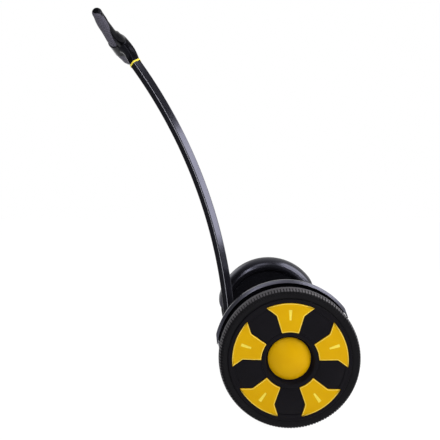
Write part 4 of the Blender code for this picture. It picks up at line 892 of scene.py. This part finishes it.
def make_grip(side):
    """Swelling two-shot grip, grey in front with a black back, then its domed end cap."""
    length = (BAR_HALF - CAP_LENGTH - SLEEVE_HALF - GAP) / cos(BAR_SLOPE)
    swell = smooth_between(GRIP_SWELL, 4)
    profile = [(GRIP_BORE, length)]
    profile += [(GRIP_RADIUS * size, length * share) for share, size in reversed(swell)]
    profile += [(GRIP_BORE, 0)]
    shape = turned(profile, 64, closed=True)
    paint_back(shape, bar_end(side), GRIP_BACK, BACK_REACH)
    soften(shape, 0.0006, sharper_than=radians(40))
    piece(
        side + "_rubber_grip", shape, bar_end(side), (GRIP_RUBBER, TEXTURED_ABS), "steering_post",
        [side + "_grip"],
    )
    back = length + GAP
    face = back + CAP_LENGTH
    profile = [(0, face)]
    profile += [
        (GRIP_RADIUS - CAP_ROUND + radius, face - CAP_ROUND + height)
        for height, radius in arc(CAP_ROUND, 0, pi / 2, 10)
    ]
    profile += [(GRIP_RADIUS, back), (PLUG_RADIUS, back), (PLUG_RADIUS, back - PLUG_LENGTH)]
    profile += [(0, back - PLUG_LENGTH)]
    shape = turned(profile, 64)
    soften(shape, 0.0004, sharper_than=radians(50))
    paint_back(shape, bar_end(side), CAP_FRONT, CAP_SPLIT)
    piece(
        side + "_grip_cap", shape, bar_end(side), (SEMI_GLOSS_ABS, GRIP_RUBBER), "steering_post",
        [side + "_end_cap"],
    )


# Deck, mats and tray, in the body frame
DECK_BACK, DECK_FRONT, DECK_HALF, DECK_CORNER = -0.150, 0.140, 0.186, 0.018
DECK_BOTTOM, DECK_TOP, TRAY_BOTTOM, TRAY_RIM = 0.0158, 0.0200, -0.072, 0.0155
SCREW_ROWS, SCREW_HALF = (-0.128, -0.045, 0.040, 0.118), 0.170
SCREW_HEAD = [(0, 0), (0.0042, 0), (0.0040, 0.0010), (0.0028, 0.0018), (0, 0.0020)]
# The stand's pin, the ears that hold it and the rails on the tray's back
STAND_X, STAND_Z, EAR_ROUND, EAR_WIDTH = 0.112, -0.0827, 0.0095, 0.008
RAIL_HEIGHTS, RAIL_HALF, RAIL_WIDTH = (0.004, -0.058), 0.160, 0.003
RAIL_PROUD, RAIL_SUNK = 0.0017, 0.0005


def rounded_box(low, high, corner, edge, corner_segments=10):
    """A box with round upright corners and a small radius on every other edge."""
    shape = box_shape(low, high)
    upright = upright_edges(shape, (high[2] - low[2]) / 2)
    soften(shape, corner, segments=corner_segments, edges=upright)
    soften(shape, edge, segments=3, sharper_than=radians(60))
    return shape


def make_deck():
    """Deck plate with its screws along both short sides."""
    low, high = (DECK_BACK, -DECK_HALF, DECK_BOTTOM), (DECK_FRONT, DECK_HALF, DECK_TOP)
    plate = rounded_box(low, high, DECK_CORNER, 0.0010)
    piece("deck_panel", plate, BODY, TEXTURED_ABS, "base", ["deck_plate"])
    heads = []
    for x in SCREW_ROWS:
        for y in (-SCREW_HALF, SCREW_HALF):
            head = turned(SCREW_HEAD, 24, 0.0002)
            heads.append(move(head, shift(x, y, DECK_TOP - 0.0001)))
    piece("deck_screws", together(*heads), BODY, GROUND_STEEL, "base")


MAT_BACK, MAT_FRONT, MAT_MIDDLE, MAT_HALF = -0.126, 0.110, 0.082, 0.070
MAT_BASE, MAT_TOP, MAT_RIBS = 0.0233, 0.0253, 24
# The ribs' half length, the bare margin before the first, and how much of a pitch each fills
RIB_HALF, RIB_MARGIN, RIB_SHARE = 0.064, 0.004, 0.6


def make_mat(side):
    """Foot mat: a thin sheet with fine round-topped ribs across it."""
    middle = SIDES[side] * MAT_MIDDLE
    low = (MAT_BACK, middle - MAT_HALF, DECK_TOP + GAP)
    shapes = [rounded_box(low, (MAT_FRONT, middle + MAT_HALF, MAT_BASE), 0.008, 0.0006)]
    pitch = (MAT_FRONT - MAT_BACK - 2 * RIB_MARGIN) / MAT_RIBS
    for number in range(MAT_RIBS):
        start = MAT_BACK + RIB_MARGIN + (number + (1 - RIB_SHARE) / 2) * pitch
        rib = box_shape(
            (start, middle - RIB_HALF, MAT_BASE - 0.0010),
            (start + RIB_SHARE * pitch, middle + RIB_HALF, MAT_TOP),
        )
        soften(rib, 0.0009, segments=3)
        shapes.append(rib)
    piece(
        side + "_ribbed_mat", together(*shapes), BODY, MAT_RUBBER, "base",
        [side + "_foot_mat"],
    )


def make_tray():
    """Cast tray: round corners, a soft bottom edge, two ears for the stand, rails on its back."""
    outer = box_shape((DECK_BACK, -DECK_HALF, TRAY_BOTTOM), (DECK_FRONT, DECK_HALF, TRAY_RIM))
    soften(outer, DECK_CORNER, segments=12, edges=upright_edges(outer, 0.05))
    open_where(outer, lambda at, way: way.z > 0.9)
    bottom = [
        e for e in outer.edges
        if e.is_manifold and all(v.co.z < TRAY_BOTTOM + 0.0001 for v in e.verts)
    ]
    soften(outer, 0.0035, segments=4, edges=bottom)
    tray = piece("cast_tray", outer, BODY, CAST_ALLOY, "base", ["chassis_tray"])
    walled(tray, 0.004, 0.0008, 2, radians(60))
    ears = []
    outline = [(0.099, TRAY_BOTTOM + 0.001), (0.125, TRAY_BOTTOM + 0.001)]
    outline += [(STAND_X + x, STAND_Z + z) for x, z in arc(EAR_ROUND, 0, -pi, 24)]
    for y in (0.0512, -0.0592):
        ear = flat_shape(outline, 0.0, EAR_WIDTH)
        soften(ear, 0.0006, sharper_than=radians(60))
        ears.append(move(ear, shift(0, y + EAR_WIDTH, 0) @ about("X", pi / 2)))
    piece("stand_ears", together(*ears), BODY, CAST_ALLOY, "base")
    rails = []
    for height in RAIL_HEIGHTS:
        rail = box_shape(
            (DECK_BACK - RAIL_PROUD, -RAIL_HALF, height),
            (DECK_BACK + RAIL_SUNK, RAIL_HALF, height + RAIL_WIDTH),
        )
        soften(rail, 0.0007)
        rails.append(rail)
    piece("tray_rails", together(*rails), BODY, CAST_ALLOY, "base")


def make_nose():
    """Moulded nose over the lean pivot, rounded in front, slotted on top for the post."""
    low, high = Vector((DECK_FRONT + GAP, -0.060, -0.078)), Vector((0.2141, 0.060, 0.013))
    slot_half, slot_front = 0.0345, 0.1918
    shape = box_shape(low, high)
    open_where(shape, lambda at, way: way.x < -0.9)
    front = [
        e for e in shape.edges
        if e.is_manifold and all(v.co.x > high.x - 0.0001 for v in e.verts)
    ]
    soften(shape, 0.014, segments=8, edges=front)
    split(shape, (0, slot_half, 0), (0, 1, 0))
    split(shape, (0, -slot_half, 0), (0, 1, 0))
    split(shape, (slot_front, 0, 0), (1, 0, 0))
    roof = high.z - 0.0001
    open_where(shape, lambda at, way: at.z > roof and abs(at.y) < slot_half and at.x < slot_front)
    nose = piece("nose_moulding", shape, BODY, GLOSS_ABS, "base", ["front_cover"])
    walled(nose, 0.0025, 0.0006, 2, radians(60))


def make_axle(side):
    """Stepped axle with a ring of screws through its flange."""
    profile = [
        (0, 0.2608), (0.0088, 0.2608), (0.0098, 0.2598), (0.0098, 0.2255), (0.0155, 0.2255),
        (0.0155, 0.1986), (0.0300, 0.1986), (0.0300, 0.1896), (0.0098, 0.1896), (0.0098, 0.154),
        (0, 0.154),
    ]
    shapes = [turned(profile, 64, 0.0006)]
    screws, ring, seat = 6, 0.0232, 0.1985
    screw = [(0, 0), (0.0034, 0), (0.0034, 0.0008), (0.0026, 0.0014), (0, 0.0014)]
    for number in range(screws):
        head = move(turned(screw, 20, 0.0002), shift(ring, 0, seat))
        shapes.append(move(head, about("Z", 2 * pi * number / screws)))
    piece(
        side + "_stepped_axle", together(*shapes), fixed_frame(side), GROUND_STEEL, "base",
        [side + "_axle"],
    )


# The charging socket's pieces are turned about a local Z that points backward out of the tray
SOCKET = BODY @ shift(DECK_BACK, -0.105, -0.030) @ about("Y", -pi / 2)


def make_charging_socket():
    """Round socket with three pins, and the hinged flap over it."""
    profile = [
        (0, -0.0117), (0.0065, -0.0117), (0.0065, 0.0023), (0.0120, 0.0023), (0.0120, 0.0003),
        (0.0090, 0.0003), (0.0090, -0.0177), (0, -0.0177),
    ]
    shapes = [turned(profile, 48, 0.0004)]
    for x, y in ((0.0022, 0), (-0.0011, 0.0019), (-0.0011, -0.0019)):
        pin = turned([(0, -0.0121), (0.0009, -0.0121), (0.0009, -0.0040), (0, -0.0035)], 16)
        shapes.append(move(pin, shift(x, y, 0)))
    piece(
        "round_socket", together(*shapes), SOCKET, TEXTURED_ABS, "base",
        ["charge_socket"],
    )
    hinge, seat = 0.0185, 0.0026
    flap = [(0, seat), (0.0125, seat), (0.0125, 0.0044), (0.0117, 0.0054), (0, 0.0056)]
    cap = turned(flap, 56, 0.0004)
    tab = box_shape((-hinge, -0.0045, seat), (0.0, 0.0045, 0.0052))
    soften(tab, 0.0006)
    bead = move(rod(0.0025, 0.0054, 24, 0.0006), shift(-hinge, 0, 0.0028) @ OUTBOARD)
    piece(
        "rubber_flap", together(cap, tab, bead), SOCKET @ about("Z", pi), GRIP_RUBBER,
        "socket_flap", ["charge_cap"],
    )


STAND_PIN = BODY @ shift(STAND_X, 0, STAND_Z)
STAND = STAND_PIN @ about("Y", -PITCH)
# From the pin down to the floor, the foot's height and how far ahead of the pin it stands
STAND_DROP, FOOT_HEIGHT, FOOT_AHEAD = 0.0981277, 0.0085, 0.0175


def make_stand():
    """Bent rod loop on its barrel, with a rubber foot, and the pin through the tray's ears."""
    drop, half, bend, thick = FOOT_HEIGHT - STAND_DROP, 0.040, 0.012, 0.0055
    line = [(half, 0.0)]
    line += [(half - bend + y, drop + bend + z) for y, z in arc(bend, 0, -pi / 2, 10)]
    line += [(-y, z) for y, z in reversed(line)]
    lean = FOOT_AHEAD / -drop
    points = [Vector((-z * lean, y, z)) for y, z in line]
    across = Vector((1, 0, lean)).normalized()
    stations = []
    for i, point in enumerate(points):
        run = (points[min(i + 1, len(points) - 1)] - points[max(i - 1, 0)]).normalized()
        turn = Matrix((across, run.cross(across), run)).transposed().to_4x4()
        stations.append((Matrix.Translation(point) @ turn, thick))
    loop = swept(stations, 24)
    tube = [(0.0053, 0.050), (0.0095, 0.050), (0.0095, -0.050), (0.0053, -0.050)]
    barrel = move(turned(tube, 40, 0.0008, closed=True), OUTBOARD)
    piece(
        "stand_loop", together(loop, barrel), STAND, GROUND_STEEL, "stand", ["stand_leg"]
    )
    low = (FOOT_AHEAD - 0.012, -0.055, -STAND_DROP)
    foot = rounded_box(low, (FOOT_AHEAD + 0.012, 0.055, drop), 0.004, 0.0012, 6)
    piece("stand_pad", foot, STAND, MAT_RUBBER, "stand", ["stand_foot"])
    pin = rod(0.0050, 0.0592, 32, 0.0007)
    piece(
        "stand_pivot_pin", pin, STAND_PIN @ OUTBOARD, GROUND_STEEL, "base", ["stand_pin"]
    )


def make_button():
    """Round button with a finger dish, and the thin bezel that it moves in."""
    place = BODY @ BUTTON_PLACE
    foot, top, dish_reach, dish_depth = -0.0035, 0.0015, 0.0064, 0.0006
    profile = [(0.0080, foot), (0.0080, 0.0009), (0.0074, top)]
    for share in (1 - i / 8 for i in range(9)):
        profile.append((dish_reach * share, top - dish_depth * (1 - share**2)))
    profile.append((0, foot))
    shape = turned(profile[::-1], 48)
    piece("push_button", shape, place, YELLOW_ABS, "button", ["power_button"])
    profile = [
        (0.0083, -0.0040), (0.0106, -0.0040), (0.0106, 0.0001), (0.0100, 0.0006), (0.0083, 0.0004),
    ]
    bezel = turned(profile, 48, 0.0002, closed=True)
    piece("button_bezel", bezel, place, SEMI_GLOSS_ABS, "steering_post")


make_deck()
make_tray()
make_nose()
make_charging_socket()
make_stand()
make_button()
for side in SIDES:
    make_tyre(side)
    make_cover(side)
    for number in range(INSERTS):
        make_panel(side, number)
    make_cap(side)
    make_rim(side)
    make_fender(side)
    make_grip(side)
    make_mat(side)
    make_axle(side)
make_post()
make_ring()
make_neck()
make_bar()


# Floor, light and camera
PAPER_GLOW, PAPER_WHITE = 0.92, 1.06
DIM_WAY = (0.45, 0.89, 0.0)
ROOM_LEVEL, DIM_LEVEL = 0.65, 0.05


def pale_backdrop(name, colour):
    """Pale paper that the camera and reflections see near white; it still takes the shadow."""
    look, shader = finish(name, Base_Color=linear(colour), Roughness=0.9, Specular_IOR_Level=0.2)
    white = add_node(
        look, "ShaderNodeEmission", {"Color": linear("FFFFFF"), "Strength": PAPER_WHITE}
    )
    ray = add_node(look, "ShaderNodeLightPath")
    seen = ray.outputs["Is Camera Ray"]
    for kind in ("Is Glossy Ray", "Is Transmission Ray"):
        seen = add_node(
            look, "ShaderNodeMath", {0: seen, 1: ray.outputs[kind]}, operation="MAXIMUM"
        ).outputs["Value"]
    share = add_node(look, "ShaderNodeMath", {0: seen, 1: PAPER_GLOW}, operation="MULTIPLY")
    mixed = add_node(
        look, "ShaderNodeMixShader",
        {0: share.outputs["Value"], 1: shader.outputs["BSDF"], 2: white.outputs["Emission"]},
    )
    output = look.node_tree.nodes["Material Output"]
    look.node_tree.links.new(mixed.outputs["Shader"], output.inputs["Surface"])
    return look


def make_floor():
    shape = bmesh.new()
    bmesh.ops.create_grid(shape, x_segments=1, y_segments=1, size=14)
    data = bpy.data.meshes.new("studio_floor")
    shape.to_mesh(data)
    shape.free()
    floor = bpy.data.objects.new("studio_floor", data)
    data.materials.append(pale_backdrop("white_studio_paper", "FBFBFB"))
    scene.collection.objects.link(floor)


def make_world():
    """White room behind the object that fades to a dim one behind the camera and in front."""
    world = bpy.data.worlds.new("studio")
    scene.world = world
    world.use_nodes = True
    tree = world.node_tree
    back = tree.nodes["Background"]
    back.inputs["Color"].default_value = linear("FFFFFF")
    way = add_node(world, "ShaderNodeTexCoord")
    towards = add_node(
        world, "ShaderNodeVectorMath",
        {0: way.outputs["Generated"], 1: DIM_WAY}, operation="DOT_PRODUCT",
    )
    room = add_node(
        world, "ShaderNodeMapRange",
        {
            "Value": towards.outputs["Value"], "From Min": -0.5, "From Max": 0.6,
            "To Min": ROOM_LEVEL, "To Max": DIM_LEVEL,
        },
    )
    ray = add_node(world, "ShaderNodeLightPath")
    level = add_node(
        world, "ShaderNodeMix",
        {"Factor": ray.outputs["Is Camera Ray"], "A": room.outputs["Result"], "B": 1.0},
    )
    tree.links.new(level.outputs[0], back.inputs["Strength"])


def area_light(name, place, target, size, power, along=(0, 0, 1)):
    """A soft lamp aimed at a target, with its second side as near as can be to a direction."""
    data = bpy.data.lights.new(name, "AREA")
    data.shape = "RECTANGLE"
    data.size, data.size_y = size
    data.energy = power
    lamp = bpy.data.objects.new(name, data)
    away = (Vector(place) - Vector(target)).normalized()
    sideways = Vector(along).cross(away).normalized()
    turn = Matrix((sideways, away.cross(sideways), away)).transposed()
    lamp.matrix_world = Matrix.Translation(place) @ turn.to_4x4()
    scene.collection.objects.link(lamp)


make_floor()
make_world()
area_light("overhead_softbox", (0.06, 1.4, 2.4), (-0.1, 0.0, 0.4), (0.9, 1.2), 8, (0, 1, 0))
area_light("right_strip", (-1.85, 1.77, 1.64), (0.0, 0.0, 0.7), (0.5, 2.0), 24, (0.29, 0, 0.96))
area_light("side_softbox", (-2.0, 0.4, 2.0), (-0.2, 0.0, 0.4), (1.8, 2.0), 55)
area_light("left_strip", (0.45, 1.77, 1.25), (0.1, 0.0, 0.7), (0.25, 1.6), 12, (0.43, 0, 0.9))
area_light("back_softbox", (1.5, -1.8, 1.5), (0.0, 0.0, 0.5), (1.6, 1.6), 8)

# The camera that was fitted to both wheels in the photo
camera_data = bpy.data.cameras.new("photo_camera")
camera_data.sensor_width = 36.0
camera_data.lens = 27.87
camera = bpy.data.objects.new("photo_camera", camera_data)
right = Vector((-0.99985, -0.0173, 0.0))
down = Vector((-0.00076, 0.04388, -0.99904))
forward = Vector((0.01728, -0.99889, -0.04389))
turn = Matrix((right, -down, -forward)).transposed()
camera.matrix_world = shift(-0.01148, 1.2239, 0.64001) @ turn.to_4x4()
scene.collection.objects.link(camera)
scene.camera = camera
scene.view_settings.view_transform = "Standard"
